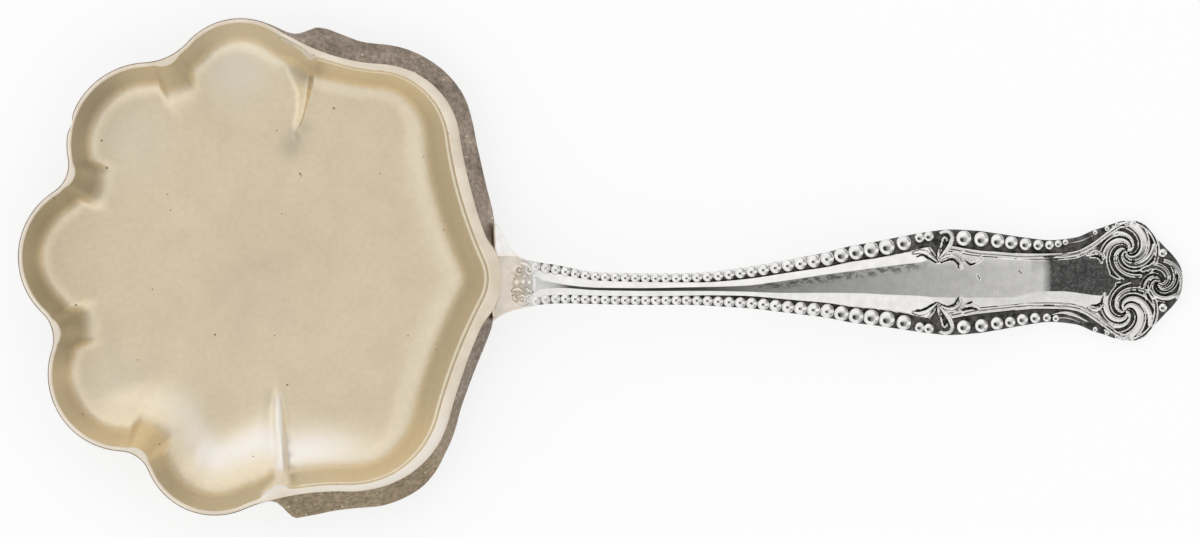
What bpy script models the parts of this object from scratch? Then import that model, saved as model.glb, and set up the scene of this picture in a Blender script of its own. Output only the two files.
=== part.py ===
"""Bonbon spoon: a lobed silver bowl with a gilt lining, soldered to a struck handle.

Lengths are in metres and +Z is up. The origin is the middle of the bowl's flat
underside, and +X runs along the handle.
"""
import math

import bmesh
import bpy
from mathutils import Vector

MM = 0.001

# Rim line of the bowl: one arc for each lobe and shoulder, going round from the
# handle. Each has a bearing in degrees, a reach from the origin and a radius, and the
# radius of the hollow that leads to the next arc.
BACK_BEARING = -3.2
BACK_REACH = 25.5 * MM
BACK_RADIUS = 5.0 * MM
BACK_HOLLOW = 50.0 * MM
LEFT_SHOULDER_BEARING = 46.0
LEFT_SHOULDER_REACH = 26.8 * MM
LEFT_SHOULDER_RADIUS = 8.3 * MM
LEFT_SHOULDER_HOLLOW = 22.0 * MM
LEFT_LOBE_BEARING = 95.0
LEFT_LOBE_REACH = 26.8 * MM
LEFT_LOBE_RADIUS = 7.2 * MM
LEFT_LOBE_HOLLOW = 7.4 * MM
LEFT_FRONT_BEARING = 131.0
LEFT_FRONT_REACH = 26.3 * MM
LEFT_FRONT_RADIUS = 8.4 * MM
LEFT_FRONT_HOLLOW = 4.1 * MM
FRONT_BEARING = 176.0
FRONT_REACH = 25.5 * MM
FRONT_RADIUS = 7.9 * MM
FRONT_HOLLOW = 4.5 * MM
RIGHT_FRONT_BEARING = 219.0
RIGHT_FRONT_REACH = 26.3 * MM
RIGHT_FRONT_RADIUS = 7.9 * MM
RIGHT_FRONT_HOLLOW = 4.0 * MM
RIGHT_LOBE_BEARING = 256.8
RIGHT_LOBE_REACH = 27.0 * MM
RIGHT_LOBE_RADIUS = 7.3 * MM
RIGHT_LOBE_HOLLOW = 28.0 * MM
RIGHT_SHOULDER_BEARING = 306.8
RIGHT_SHOULDER_REACH = 27.1 * MM
RIGHT_SHOULDER_RADIUS = 10.1 * MM
RIGHT_SHOULDER_HOLLOW = 60.0 * MM

# Bowl sheet and wall
BOWL_DEPTH = 7.0 * MM
SHEET = 0.6 * MM
LOBE_WALL_RUN = 3.4 * MM
BACK_WALL_RUN = 4.3 * MM
RIM_SPACING = 1.4 * MM

# Ribs: a short one at each hollow between lobes, a long one at each fold
LOBE_RIB_RUN = 5.2 * MM
LOBE_RIB_HALF_WIDTH = 1.6 * MM
LEFT_FOLD_BEARING = 76.8
RIGHT_FOLD_BEARING = 275.4
LEFT_FOLD_TIP_X = 4.0 * MM
LEFT_FOLD_TIP_Y = 14.8 * MM
RIGHT_FOLD_TIP_X = 2.4 * MM
RIGHT_FOLD_TIP_Y = -14.0 * MM
FOLD_HALF_WIDTH = 1.0 * MM

# Rim land and the skirt that is turned down behind the folds
FRONT_LAND = 0.5 * MM
BACK_LAND = 0.85 * MM
NECK_LAND = 1.3 * MM
SKIRT_DROP = 2.6 * MM
SKIRT_RUN_AT_FOLD = 2.1 * MM
SKIRT_RUN_AT_NECK = 0.06 * MM
SKIRT_THICKNESS = 0.5 * MM
LIP_HEIGHT = 0.3 * MM
LIP_SWELL = 0.06 * MM
SKIRT_INSET = 0.1 * MM
LEFT_SKIRT_LEAD = 5.5 * MM
RIGHT_SKIRT_LEAD = 0.8 * MM
SKIRT_GROWTH = 2.4 * MM
UPRIGHT_SKIRT = 3.6 * MM
NECK_LAND_REACH = 13.0 * MM

# Gilt lining
WASH_THICKNESS = 0.15 * MM
WASH_CLEARANCE = 0.1 * MM

# Solder joint between the heel of the handle and the bowl
SEAM_THICKNESS = 0.22 * MM
SEAM_CLEARANCE = 0.06 * MM
SEAM_HEIGHT = 1.8 * MM

# Handle outline: distances along it from the back of the bowl, and full widths
HEEL_LAP = 1.3 * MM
HEEL_WIDTH = 11.8 * MM
FLARE_AT = 1.1 * MM
FLARE_WIDTH = 6.8 * MM
NECK_AT = 5.2 * MM
NECK_WIDTH = 4.5 * MM
STEM_AT = 17.0 * MM
STEM_WIDTH = 3.7 * MM
TAPER_AT = 31.0 * MM
TAPER_WIDTH = 5.7 * MM
LEAF_AT = 49.2 * MM
LEAF_WIDTH = 11.5 * MM
WAIST_AT = 60.7 * MM
WAIST_WIDTH = 9.0 * MM
SCROLL_AT = 68.4 * MM
BODY_PAST_SCROLL = 4.0 * MM
BODY_END = SCROLL_AT + BODY_PAST_SCROLL
BODY_END_WIDTH = 2.4 * MM

# Handle thickness and cross-section: a flat top between two bevels, then a ledge for the
# beads
STEM_THICKNESS = 2.3 * MM
END_THICKNESS = 1.7 * MM
EDGE_CHAMFER = 0.35 * MM
STEM_FLAT = 0.3 * MM
STEM_BEVEL = 0.75 * MM
LEAF_BEVEL = 1.25 * MM
PANEL_BEVEL = 0.5 * MM
BEVEL_SLOPE = 0.4
LEDGE_DEPTH = 0.8 * MM
LEDGE_STEP = 0.1 * MM
HEEL_LEDGE_DEPTH = 0.2 * MM
HEEL_EDGE = 0.3 * MM
END_SINK = 0.6 * MM
END_SINK_LENGTH = 4.0 * MM

# Curve of the handle: its slopes seen from the side, the bend before the end scrolls, and
# the sideways place of its middle line
HEEL_RISE = 0.13
PANEL_FALL = -0.22
END_FALL = -0.035
BEND_BEFORE_SCROLL = 9.9 * MM
BEND_LENGTH = 4.5 * MM
AXIS_AT_HEEL = -1.65 * MM
AXIS_AT_STEM = -2.3 * MM
AXIS_AT_LEAF = -1.57 * MM
AXIS_AT_TIP = -1.37 * MM

# Bead borders: a row that grows along the stem and one that shrinks past the leaf
NECK_BEAD = 1.08 * MM
LEAF_BEAD = 1.75 * MM
PANEL_BEAD = 1.7 * MM
END_BEAD = 0.9 * MM
BEAD_PITCH = 1.06
BEAD_OVERHANG = 0.2 * MM
BEADS_AFTER_FLORETS = 1.6 * MM
BEADS_BEFORE_LEAF = 5.6 * MM
BEADS_AFTER_LEAF = 2.0 * MM
BEADS_BEFORE_SCROLL = 5.8 * MM

# Leaf cluster, neck florets and end scrolls
LEAF_LENGTH = 4.4 * MM
LEAF_BREADTH = 1.9 * MM
LEAF_HEIGHT = 1.1 * MM
FLORETS_AT = 2.2 * MM
FLORET_SIZE = 1.5 * MM
SCROLL_RADIUS = 2.85 * MM
SCROLL_OFFSET = 3.4 * MM
TIP_SCROLL_RADIUS = 2.45 * MM
TIP_SCROLL_STEP = 3.7 * MM
BOSS_RIM = 0.35 * MM
SCROLL_TURNS = 1.6
RIDGE_RADIUS = 0.34 * MM

SILVER = (0.80, 0.79, 0.77)
TARNISHED_SILVER = (0.42, 0.38, 0.34)
GILT = (0.74, 0.66, 0.50)
SOLDER = (0.72, 0.71, 0.68)


def clear_scene():
    """Remove what the new file holds."""
    for item in list(bpy.data.objects):
        bpy.data.objects.remove(item, do_unlink=True)


def metal(name, colour, roughness):
    """Make a plain metal of one colour."""
    material = bpy.data.materials.new(name)
    material.use_nodes = True
    shader = material.node_tree.nodes["Principled BSDF"]
    shader.inputs["Base Color"].default_value = (*colour, 1.0)
    shader.inputs["Metallic"].default_value = 1.0
    shader.inputs["Roughness"].default_value = roughness
    return material


def add_object(name, vertices, faces, material=None):
    """Make a mesh object with its faces pointing outwards."""
    mesh = bpy.data.meshes.new(name)
    mesh.from_pydata([tuple(v) for v in vertices], [], faces)
    shape = bmesh.new()
    shape.from_mesh(mesh)
    bmesh.ops.recalc_face_normals(shape, faces=shape.faces)
    shape.to_mesh(mesh)
    shape.free()
    if material:
        mesh.materials.append(material)
    thing = bpy.data.objects.new(name, mesh)
    bpy.context.scene.collection.objects.link(thing)
    return thing


def smooth(thing, angle=40.0):
    """Shade the round stretches smooth and keep the sharp edges."""
    thing.data.shade_smooth()
    thing.data.set_sharp_from_angle(angle=math.radians(angle))


def ease(value):
    """Go from 0 to 1 without a corner at either end."""
    value = min(1.0, max(0.0, value))
    return value * value * (3.0 - 2.0 * value)


def polar(bearing, radius):
    """Point at a bearing in degrees from the origin."""
    angle = math.radians(bearing)
    return Vector((radius * math.cos(angle), radius * math.sin(angle)))


def arc_points(centre, radius, start, end, turn, spacing):
    """Points and outward normals along one arc, without its last point."""
    first = math.atan2(start.y - centre.y, start.x - centre.x)
    last = math.atan2(end.y - centre.y, end.x - centre.x)
    sweep = ((last - first) * turn) % (2 * math.pi) * turn
    steps = max(2, round(abs(sweep) * radius / spacing))
    found = []
    for step in range(steps):
        angle = first + sweep * step / steps
        ray = Vector((math.cos(angle), math.sin(angle)))
        found.append((centre + ray * radius, ray * turn))
    return found


def back_arcs():
    """Arc at the handle, then the shoulder on each side of it."""
    return ((BACK_BEARING, BACK_REACH, BACK_RADIUS, BACK_HOLLOW),
            (LEFT_SHOULDER_BEARING, LEFT_SHOULDER_REACH, LEFT_SHOULDER_RADIUS, LEFT_SHOULDER_HOLLOW),
            (RIGHT_SHOULDER_BEARING, RIGHT_SHOULDER_REACH, RIGHT_SHOULDER_RADIUS, RIGHT_SHOULDER_HOLLOW))


def lobe_arcs():
    """Arcs of the round lobes, from the left side round the front to the right side."""
    return ((LEFT_LOBE_BEARING, LEFT_LOBE_REACH, LEFT_LOBE_RADIUS, LEFT_LOBE_HOLLOW),
            (LEFT_FRONT_BEARING, LEFT_FRONT_REACH, LEFT_FRONT_RADIUS, LEFT_FRONT_HOLLOW),
            (FRONT_BEARING, FRONT_REACH, FRONT_RADIUS, FRONT_HOLLOW),
            (RIGHT_FRONT_BEARING, RIGHT_FRONT_REACH, RIGHT_FRONT_RADIUS, RIGHT_FRONT_HOLLOW),
            (RIGHT_LOBE_BEARING, RIGHT_LOBE_REACH, RIGHT_LOBE_RADIUS, RIGHT_LOBE_HOLLOW))


def rim_line():
    """Rim of the bowl as points with outward normals: round arcs and hollows in turn."""
    back, left_shoulder, right_shoulder = back_arcs()
    arcs = (back, left_shoulder, *lobe_arcs(), right_shoulder)
    centres = [polar(bearing, reach - radius) for bearing, reach, radius, _ in arcs]
    hollows = []
    for index, (_, _, radius, hollow) in enumerate(arcs):
        following = (index + 1) % len(arcs)
        across = centres[following] - centres[index]
        span = across.length
        near = radius + hollow
        far = arcs[following][2] + hollow
        along = (span * span + near * near - far * far) / (2 * span)
        side = math.sqrt(near * near - along * along)
        outward = Vector((across.y, -across.x)) / span
        hollows.append(centres[index] + across / span * along + outward * side)
    line = []
    for index, (_, _, radius, hollow) in enumerate(arcs):
        following = (index + 1) % len(arcs)
        before, after = hollows[index - 1], hollows[index]
        line += arc_points(centres[index], radius, before, after, 1, RIM_SPACING)
        line += arc_points(after, hollow, centres[index], centres[following], -1, RIM_SPACING)
    return line


def bearing_of(point):
    """Bearing of a point from the origin, from 0 to 360 degrees."""
    return math.degrees(math.atan2(point.y, point.x)) % 360.0


def hollow_bearings():
    """Bearings of the hollows between the lobes."""
    lobes = lobe_arcs()
    return [(first[0] + second[0]) / 2 for first, second in zip(lobes, lobes[1:])]


def nearest_index(line, bearing):
    """Index of the rim point at a bearing."""
    return min(range(len(line)), key=lambda i: abs(bearing_of(line[i][0]) - bearing % 360.0))


def add_fold_points(line, bearing):
    """Put a close rim point on each side of a fold."""
    index = nearest_index(line, bearing)
    point, normal = line[index]
    pair = []
    for neighbour in (index - 1, (index + 1) % len(line)):
        other, other_normal = line[neighbour]
        share = min(0.8, FOLD_HALF_WIDTH / (other - point).length)
        pair.append((point.lerp(other, share), normal.lerp(other_normal, share).normalized()))
    return line[:index] + [pair[0], line[index], pair[1]] + line[index + 1:]


def rim_travel(line):
    """Distance along the rim to each of its points, and once round."""
    travel = [0.0]
    for (point, _), (following, _) in zip(line, line[1:] + line[:1]):
        travel.append(travel[-1] + (following - point).length)
    return travel


def skirt_and_land(from_neck, to_fold, lead):
    """How far the skirt is formed, how far it spreads, and the width of the land."""
    formed = ease((to_fold + lead - from_neck) / (lead + SKIRT_GROWTH))
    share = min(1.0, max(0.0, from_neck - UPRIGHT_SKIRT) / (to_fold - UPRIGHT_SKIRT))
    spread = SKIRT_RUN_AT_NECK + (SKIRT_RUN_AT_FOLD - SKIRT_RUN_AT_NECK) * math.sqrt(share)
    land = NECK_LAND + (BACK_LAND - NECK_LAND) * ease(from_neck / NECK_LAND_REACH)
    return formed, spread, FRONT_LAND + (land - FRONT_LAND) * formed


def rim_stations():
    """Everything that the bowl's cross-section needs at each point of the rim."""
    line = rim_line()
    for bearing in (LEFT_FOLD_BEARING, RIGHT_FOLD_BEARING):
        line = add_fold_points(line, bearing)
    travel = rim_travel(line)
    length = travel.pop()
    neck = travel[nearest_index(line, BACK_BEARING)]
    left_fold = nearest_index(line, LEFT_FOLD_BEARING)
    right_fold = nearest_index(line, RIGHT_FOLD_BEARING)
    ribs = [travel[nearest_index(line, bearing)] for bearing in hollow_bearings()]
    stations = []
    for index, (point, normal) in enumerate(line):
        ahead = (travel[index] - neck) % length
        if ahead < length / 2:
            to_fold = (travel[left_fold] - neck) % length
            formed, spread, land = skirt_and_land(ahead, to_fold, LEFT_SKIRT_LEAD)
        else:
            to_fold = (neck - travel[right_fold]) % length
            formed, spread, land = skirt_and_land(length - ahead, to_fold, RIGHT_SKIRT_LEAD)
        wall = LOBE_WALL_RUN + (BACK_WALL_RUN - LOBE_WALL_RUN) * ease(formed)
        for rib in ribs:
            near = ease(1.0 - abs(travel[index] - rib) / LOBE_RIB_HALF_WIDTH)
            wall += (LOBE_RIB_RUN - LOBE_WALL_RUN) * near
        inward = -normal * wall
        if index == left_fold:
            inward = Vector((LEFT_FOLD_TIP_X, LEFT_FOLD_TIP_Y)) - point
        if index == right_fold:
            inward = Vector((RIGHT_FOLD_TIP_X, RIGHT_FOLD_TIP_Y)) - point
        stations.append({"point": point, "outward": normal, "inward": inward.normalized(),
                         "wall": inward.length, "land": land, "formed": formed, "spread": spread})
    return stations


# Inner wall from its foot to the crest: share of the wall's run, share of its height
WALL_CURVE = ((1.0, 0.0), (0.72, 0.06), (0.5, 0.22), (0.25, 0.6), (0.0, 1.0))


def inner_profile(station):
    """Inside of the bowl at one station, as (distance in from the crest, height) pairs."""
    rise = BOWL_DEPTH - SHEET
    wall = [(station["wall"] * run, SHEET + rise * height) for run, height in WALL_CURVE]
    return wall + [(-station["land"], BOWL_DEPTH)]


def offset_profile(profile, distance):
    """Profile moved square to itself, to its inner side where the distance is positive."""
    sides = []
    for (run_a, height_a), (run_b, height_b) in zip(profile, profile[1:]):
        step = Vector((run_b - run_a, height_b - height_a)).normalized()
        sides.append(Vector((step.y, -step.x)))
    sides = [Vector((0.0, 1.0))] + sides + [Vector((0.0, 1.0))]
    moved = []
    for (run, height), first, second in zip(profile, sides, sides[1:]):
        middle = (first + second).normalized()
        shift = middle * (distance / max(0.3, middle.dot(first)))
        moved.append((run + shift.x, height + shift.y))
    return moved


def outer_profile(station):
    """Skirt and outside wall at one station, from the edge of the land to the foot."""
    low, lip = BOWL_DEPTH - SKIRT_DROP, BOWL_DEPTH - LIP_HEIGHT
    edge = station["land"] + station["spread"]
    lip_points = [(-FRONT_LAND - LIP_SWELL, lip), (-FRONT_LAND - LIP_SWELL, lip - LIP_HEIGHT / 2),
                  (-FRONT_LAND, lip - LIP_HEIGHT)]
    skirt_points = [(-edge, low), (SKIRT_THICKNESS - edge, low),
                    (SKIRT_INSET - station["land"], BOWL_DEPTH - SHEET)]
    share = station["formed"]
    rim = [tuple((1 - share) * a + share * b for a, b in zip(lip_point, skirt_point))
           for lip_point, skirt_point in zip(lip_points, skirt_points)]
    outside = offset_profile(inner_profile(station), -SHEET)
    top, below = Vector(outside[-2]), Vector(outside[-3])
    wall_top = top.lerp(below, 2 * LIP_HEIGHT / (top - below).length)
    return rim + [tuple(wall_top)] + outside[-3:0:-1] + [(outside[0][0], 0.0)]


def place(station, run, height):
    """World point of a profile point."""
    base = station["point"]
    flat = base + station["inward"] * run if run > 0 else base - station["outward"] * run
    return Vector((flat.x, flat.y, height))


def add_rows(rows):
    """Vertices, and triangles between neighbouring rows that go once round the rim."""
    count, size = len(rows), len(rows[0])
    faces = []
    for index in range(count):
        here, there = index * size, (index + 1) % count * size
        for step in range(size - 1):
            faces.append((here + step, there + step, there + step + 1))
            faces.append((here + step, there + step + 1, here + step + 1))
    return [point for row in rows for point in row], faces


def ring_solid(name, rows, material):
    """Close a run of cross-sections round the rim, with a floor above and below."""
    vertices, faces = add_rows(rows)
    count, size = len(rows), len(rows[0])
    faces.append([index * size for index in range(count)])
    faces.append([index * size + size - 1 for index in range(count)])
    thing = add_object(name, vertices, faces, material)
    smooth(thing)
    return thing


def row_normals(rows):
    """Upward normal at each point of the bowl's inside."""
    vertices, faces = add_rows(rows)
    size = len(rows[0])
    shape = bmesh.new()
    corners = [shape.verts.new(point) for point in vertices]
    for face in faces:
        shape.faces.new([corners[index] for index in face])
    shape.faces.new([corners[index * size] for index in range(len(rows))])
    bmesh.ops.recalc_face_normals(shape, faces=shape.faces)
    shape.normal_update()
    normals = [corner.normal.copy() for corner in corners]
    shape.free()
    way = 1.0 if normals[size - 1].z > 0 else -1.0
    return [[normal * way for normal in normals[index * size:(index + 1) * size]]
            for index in range(len(rows))]


def make_bowl(stations):
    """Pressed silver sheet with its lobes, folds, rim land and skirt."""
    rows = [[place(station, run, height) for run, height in inner_profile(station) + outer_profile(station)]
            for station in stations]
    return ring_solid("bowl", rows, metal("tarnished_silver", TARNISHED_SILVER, 0.4))


def coat_rows(rows, normals, distance):
    """Inside of the bowl moved out by a distance, with its floor kept flat."""
    moved = []
    for row, row_normal in zip(rows, normals):
        new_row = [point + normal * distance for point, normal in zip(row, row_normal)]
        new_row[0].z = SHEET + distance
        moved.append(new_row)
    return moved


def make_gold_wash(stations):
    """Gilt coat on the inside of the bowl and on its rim land."""
    rows = []
    for station in stations:
        coat = inner_profile(station)
        coat[-1] = (coat[-1][0] + WASH_CLEARANCE, coat[-1][1])
        rows.append([place(station, run, height) for run, height in coat])
    normals = row_normals(rows)
    lower = coat_rows(rows, normals, WASH_CLEARANCE)
    upper = coat_rows(rows, normals, WASH_CLEARANCE + WASH_THICKNESS)
    closed = [low + high[::-1] for low, high in zip(lower, upper)]
    return ring_solid("gold_wash", closed, metal("gilt", GILT, 0.32))


def skirt_edge(station, distance):
    """Point in plan that lies a distance outside the skirt of the bowl."""
    reach = station["land"] + station["spread"] * station["formed"] + distance
    return station["point"] + station["outward"] * reach


def heel_x():
    """Where the distances along the handle start, at the back of the bowl."""
    return polar(BACK_BEARING, BACK_REACH).x + NECK_LAND


def tip_x():
    """Far end of the handle."""
    return heel_x() + SCROLL_AT + TIP_SCROLL_STEP + TIP_SCROLL_RADIUS


def axis_y(x):
    """Sideways place of the handle's middle line, which is bowed a little."""
    places = ((0.0, AXIS_AT_HEEL), (STEM_AT, AXIS_AT_STEM), (LEAF_AT, AXIS_AT_LEAF),
              (tip_x() - heel_x(), AXIS_AT_TIP))
    return curve_through(places, x - heel_x())


def joined_curve(length, start, start_slope, end, end_slope, at):
    """Value on a smooth curve between two ends with given values and slopes."""
    u = at / length
    first = start * (2 * u ** 3 - 3 * u ** 2 + 1) + start_slope * length * (u ** 3 - 2 * u ** 2 + u)
    return first + end * (3 * u ** 2 - 2 * u ** 3) + end_slope * length * (u ** 3 - u ** 2)


def arch_z(x):
    """Height of the handle's top: over a crown, down the panel, then level to the resting tip."""
    length = tip_x() - heel_x()
    along = min(length, max(0.0, x - heel_x()))
    bend = SCROLL_AT - BEND_BEFORE_SCROLL
    past_bend = along - bend - BEND_LENGTH
    low = END_THICKNESS - END_FALL * (length - bend - BEND_LENGTH)
    high = low - (PANEL_FALL + END_FALL) / 2 * BEND_LENGTH
    if past_bend > 0:
        return low + END_FALL * past_bend
    if along > bend:
        return joined_curve(BEND_LENGTH, high, PANEL_FALL, low, END_FALL, along - bend)
    return joined_curve(bend, BOWL_DEPTH, HEEL_RISE, high, PANEL_FALL, along)


def curve_through(stations, x):
    """Value at x on a curve that runs smoothly through the stations without overshoot."""
    slopes = []
    for index in range(len(stations)):
        if index in (0, len(stations) - 1):
            slopes.append(0.0)
            continue
        (x0, y0), (x1, y1), (x2, y2) = stations[index - 1:index + 2]
        before, after = (y1 - y0) / (x1 - x0), (y2 - y1) / (x2 - x1)
        same_way = before * after > 0
        slopes.append(2 * before * after / (before + after) if same_way else 0.0)
    x = min(stations[-1][0], max(stations[0][0], x))
    index = max(i for i in range(len(stations) - 1) if stations[i][0] <= x)
    (x0, y0), (x1, y1) = stations[index:index + 2]
    return joined_curve(x1 - x0, y0, slopes[index], y1, slopes[index + 1], x - x0)


def half_width(along):
    """Half the width of the handle's outline at a distance from the bowl."""
    outline = ((-HEEL_LAP, HEEL_WIDTH), (FLARE_AT, FLARE_WIDTH), (NECK_AT, NECK_WIDTH),
               (STEM_AT, STEM_WIDTH), (TAPER_AT, TAPER_WIDTH), (LEAF_AT, LEAF_WIDTH),
               (WAIST_AT, WAIST_WIDTH), (SCROLL_AT, 2 * SCROLL_OFFSET + SCROLL_RADIUS),
               (BODY_END, BODY_END_WIDTH))
    return curve_through(outline, along) / 2


def bead_rows():
    """Start, end, first and last diameter of the stem's row and the panel's row of beads."""
    stem = (FLORETS_AT + BEADS_AFTER_FLORETS, LEAF_AT - BEADS_BEFORE_LEAF, NECK_BEAD, LEAF_BEAD)
    panel = (LEAF_AT + BEADS_AFTER_LEAF, SCROLL_AT - BEADS_BEFORE_SCROLL, PANEL_BEAD, END_BEAD)
    return stem, panel


def bead_size(row, along):
    """Diameter of the bead that a row has at a distance from the bowl."""
    start, end, first, last = row
    return first + (last - first) * min(1.0, max(0.0, (along - start) / (end - start)))


def handle_point(along, across, height):
    """World point of a place on the handle, given from its own bent top."""
    x = heel_x() + along
    return Vector((x, axis_y(x) + across, arch_z(x) + height))


def flat_and_border(along):
    """Half-widths of the flat top and of the bevelled top, inside the ledge of the beads."""
    wide = half_width(along) - BEAD_OVERHANG
    beads = bead_size(bead_rows()[0], along) - BEAD_OVERHANG
    heel = 1.0 - ease((along - FLORETS_AT) / (NECK_AT - FLORETS_AT))
    border = wide * wide / (wide + beads)
    border = border + (wide - HEEL_EDGE - border) * heel
    bevel = curve_through(((STEM_AT, STEM_BEVEL), (LEAF_AT, LEAF_BEVEL),
                           (LEAF_AT + LEAF_LENGTH, PANEL_BEVEL)), along)
    flat = max(STEM_FLAT / 2, border - bevel)
    return flat, border, heel


def handle_section(along):
    """Half cross-section of the handle as (across, height) pairs, from top to bottom middle."""
    wide = half_width(along) - BEAD_OVERHANG
    thick = curve_through(((0.0, STEM_THICKNESS), (LEAF_AT, STEM_THICKNESS),
                           (BODY_END, END_THICKNESS)), along)
    flat, border, heel = flat_and_border(along)
    sink = END_SINK * ease((along - SCROLL_AT) / END_SINK_LENGTH + 1.0)
    drop = sink + BEVEL_SLOPE * (border - flat) * (1.0 - heel)
    ledge = max(LEDGE_DEPTH + (HEEL_LEDGE_DEPTH - LEDGE_DEPTH) * heel, drop + LEDGE_STEP)
    return [(0.0, -sink), (flat, -sink), (border, -drop), (border + LEDGE_STEP, -ledge),
            (wide, -ledge), (wide, EDGE_CHAMFER - thick), (wide - EDGE_CHAMFER, -thick), (0.0, -thick)]


def make_handle_body():
    """Plain body of the handle, under its beads, leaves and scrolls."""
    steps = 44
    vertices = []
    for index in range(steps + 1):
        along = -HEEL_LAP + (BODY_END + HEEL_LAP) * index / steps
        half = handle_section(along)
        ring = half + [(-across, height) for across, height in half[-2:0:-1]]
        vertices += [handle_point(along, across, height) for across, height in ring]
    size = len(vertices) // (steps + 1)
    faces = []
    for index in range(steps):
        for step in range(size):
            after = (step + 1) % size
            low, high = index * size, (index + 1) * size
            faces.append((low + step, high + step, high + after, low + after))
    faces.append(list(range(size)))
    faces.append([steps * size + step for step in range(size)])
    return add_object("handle", vertices, faces, metal("polished_silver", SILVER, 0.2))


def globe(along, across, height, sizes, turn=0.0, segments=8, rings=4):
    """Vertices and faces of a small ellipsoid set on the handle."""
    vertices = []
    cos, sin = math.cos(turn), math.sin(turn)
    for ring in range(rings + 1):
        tilt = math.pi * ring / rings
        for segment in range(segments if 0 < ring < rings else 1):
            angle = 2 * math.pi * segment / segments
            u = sizes[0] * math.sin(tilt) * math.cos(angle)
            v = sizes[1] * math.sin(tilt) * math.sin(angle)
            z = height + sizes[2] * math.cos(tilt)
            vertices.append(handle_point(along + u * cos - v * sin, across + u * sin + v * cos, z))
    last = len(vertices) - 1
    faces = []
    for segment in range(segments):
        after = (segment + 1) % segments
        faces.append((0, 1 + segment, 1 + after))
        for ring in range(rings - 2):
            low = 1 + ring * segments
            faces.append((low + segment, low + segments + segment, low + segments + after, low + after))
        low = 1 + (rings - 2) * segments
        faces.append((low + segment, last, low + after))
    return vertices, faces


def tube(points, radii, sides=6):
    """Vertices and faces of a closed ridge that follows points on the handle."""
    vertices, faces = [], []
    for index, (along, across, height) in enumerate(points):
        before = points[max(0, index - 1)]
        after = points[min(len(points) - 1, index + 1)]
        way = Vector((after[0] - before[0], after[1] - before[1])).normalized()
        for side in range(sides):
            angle = 2 * math.pi * side / sides
            out = radii[index] * math.cos(angle)
            up = radii[index] * math.sin(angle)
            vertices.append(handle_point(along - way.y * out, across + way.x * out, height + up))
    for index in range(len(points) - 1):
        for side in range(sides):
            after = (side + 1) % sides
            low, high = index * sides, (index + 1) * sides
            faces.append((low + side, high + side, high + after, low + after))
    faces.append(list(range(sides)))
    faces.append([(len(points) - 1) * sides + side for side in range(sides)])
    return vertices, faces


def join_relief(body, name, pieces):
    """Fuse pieces of relief to the handle."""
    vertices, faces = [], []
    for piece_vertices, piece_faces in pieces:
        start = len(vertices)
        vertices += piece_vertices
        faces += [[start + index for index in face] for face in piece_faces]
    fuse(body, add_object(name, vertices, faces), "UNION")


def fuse(body, tool, operation):
    """Join a tool to a body, or cut it out, and leave the tool as a guide."""
    tool.hide_render = True
    tool.display_type = "WIRE"
    step = body.modifiers.new(tool.name, "BOOLEAN")
    step.operation = operation
    step.solver = "EXACT"
    step.use_self = True
    step.object = tool


def bead_pieces():
    """Beads along both edges, each as wide as its place in the row asks."""
    pieces = []
    for row in bead_rows():
        along = row[0]
        while along < row[1]:
            size = bead_size(row, along)
            across = half_width(along) - size / 2
            for side in (-1, 1):
                pieces.append(globe(along, side * across, -LEDGE_DEPTH * 0.75, [size / 2] * 3))
            along += BEAD_PITCH * (size + bead_size(row, along + size)) / 2
    return pieces


def leaf_pieces():
    """Three leaf lobes on each edge, at the widest place of the handle."""
    pieces = []
    lengths = (LEAF_LENGTH / 2, LEAF_BREADTH / 2, LEAF_HEIGHT)
    for side in (-1, 1):
        edge = half_width(LEAF_AT)
        for back, inset, turn in ((-0.55, 0.45, 0.25), (0.0, 0.8, -0.15), (0.5, 1.05, -0.6)):
            along = LEAF_AT + back * LEAF_LENGTH
            across = side * (edge - inset * LEAF_BREADTH)
            pieces.append(globe(along, across, -LEDGE_DEPTH, lengths, side * turn))
    return pieces


def floret_pieces():
    """Small curled florets that cover the neck behind the seam."""
    petal = (FLORET_SIZE * 0.6, FLORET_SIZE * 0.36, FLORET_SIZE * 0.4)
    return [globe(FLORETS_AT, side * FLORET_SIZE * 0.8, -HEEL_LEDGE_DEPTH, petal, side * 0.5)
            for side in (-1, 0, 1)]


def scroll_centres():
    """Middle and radius of each end scroll, with the way it winds."""
    return ((SCROLL_AT, SCROLL_OFFSET, SCROLL_RADIUS, 1), (SCROLL_AT, -SCROLL_OFFSET, SCROLL_RADIUS, -1),
            (SCROLL_AT + TIP_SCROLL_STEP, 0.0, TIP_SCROLL_RADIUS, -1))


def boss(along, across, radius, sides=20):
    """Vertices and faces of a round flat-backed boss with a low crowned top."""
    low, high = -END_THICKNESS, -BOSS_RIM
    levels = ((0.94, low), (1.0, low + EDGE_CHAMFER), (1.0, high - EDGE_CHAMFER), (0.86, high),
              (0.45, high / 2))
    vertices = []
    for share, height in levels:
        for side in range(sides):
            angle = 2 * math.pi * side / sides
            u, v = radius * share * math.cos(angle), radius * share * math.sin(angle)
            vertices.append(handle_point(along + u, across + v, height))
    faces = [list(range(sides)), [(len(levels) - 1) * sides + side for side in range(sides)]]
    for level in range(len(levels) - 1):
        for side in range(sides):
            after = (side + 1) % sides
            here, there = level * sides, (level + 1) * sides
            faces.append((here + side, here + after, there + after, there + side))
    return vertices, faces


def scroll_pieces():
    """Round bosses under the end scrolls."""
    return [boss(along, across, radius) for along, across, radius, _ in scroll_centres()]


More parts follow.
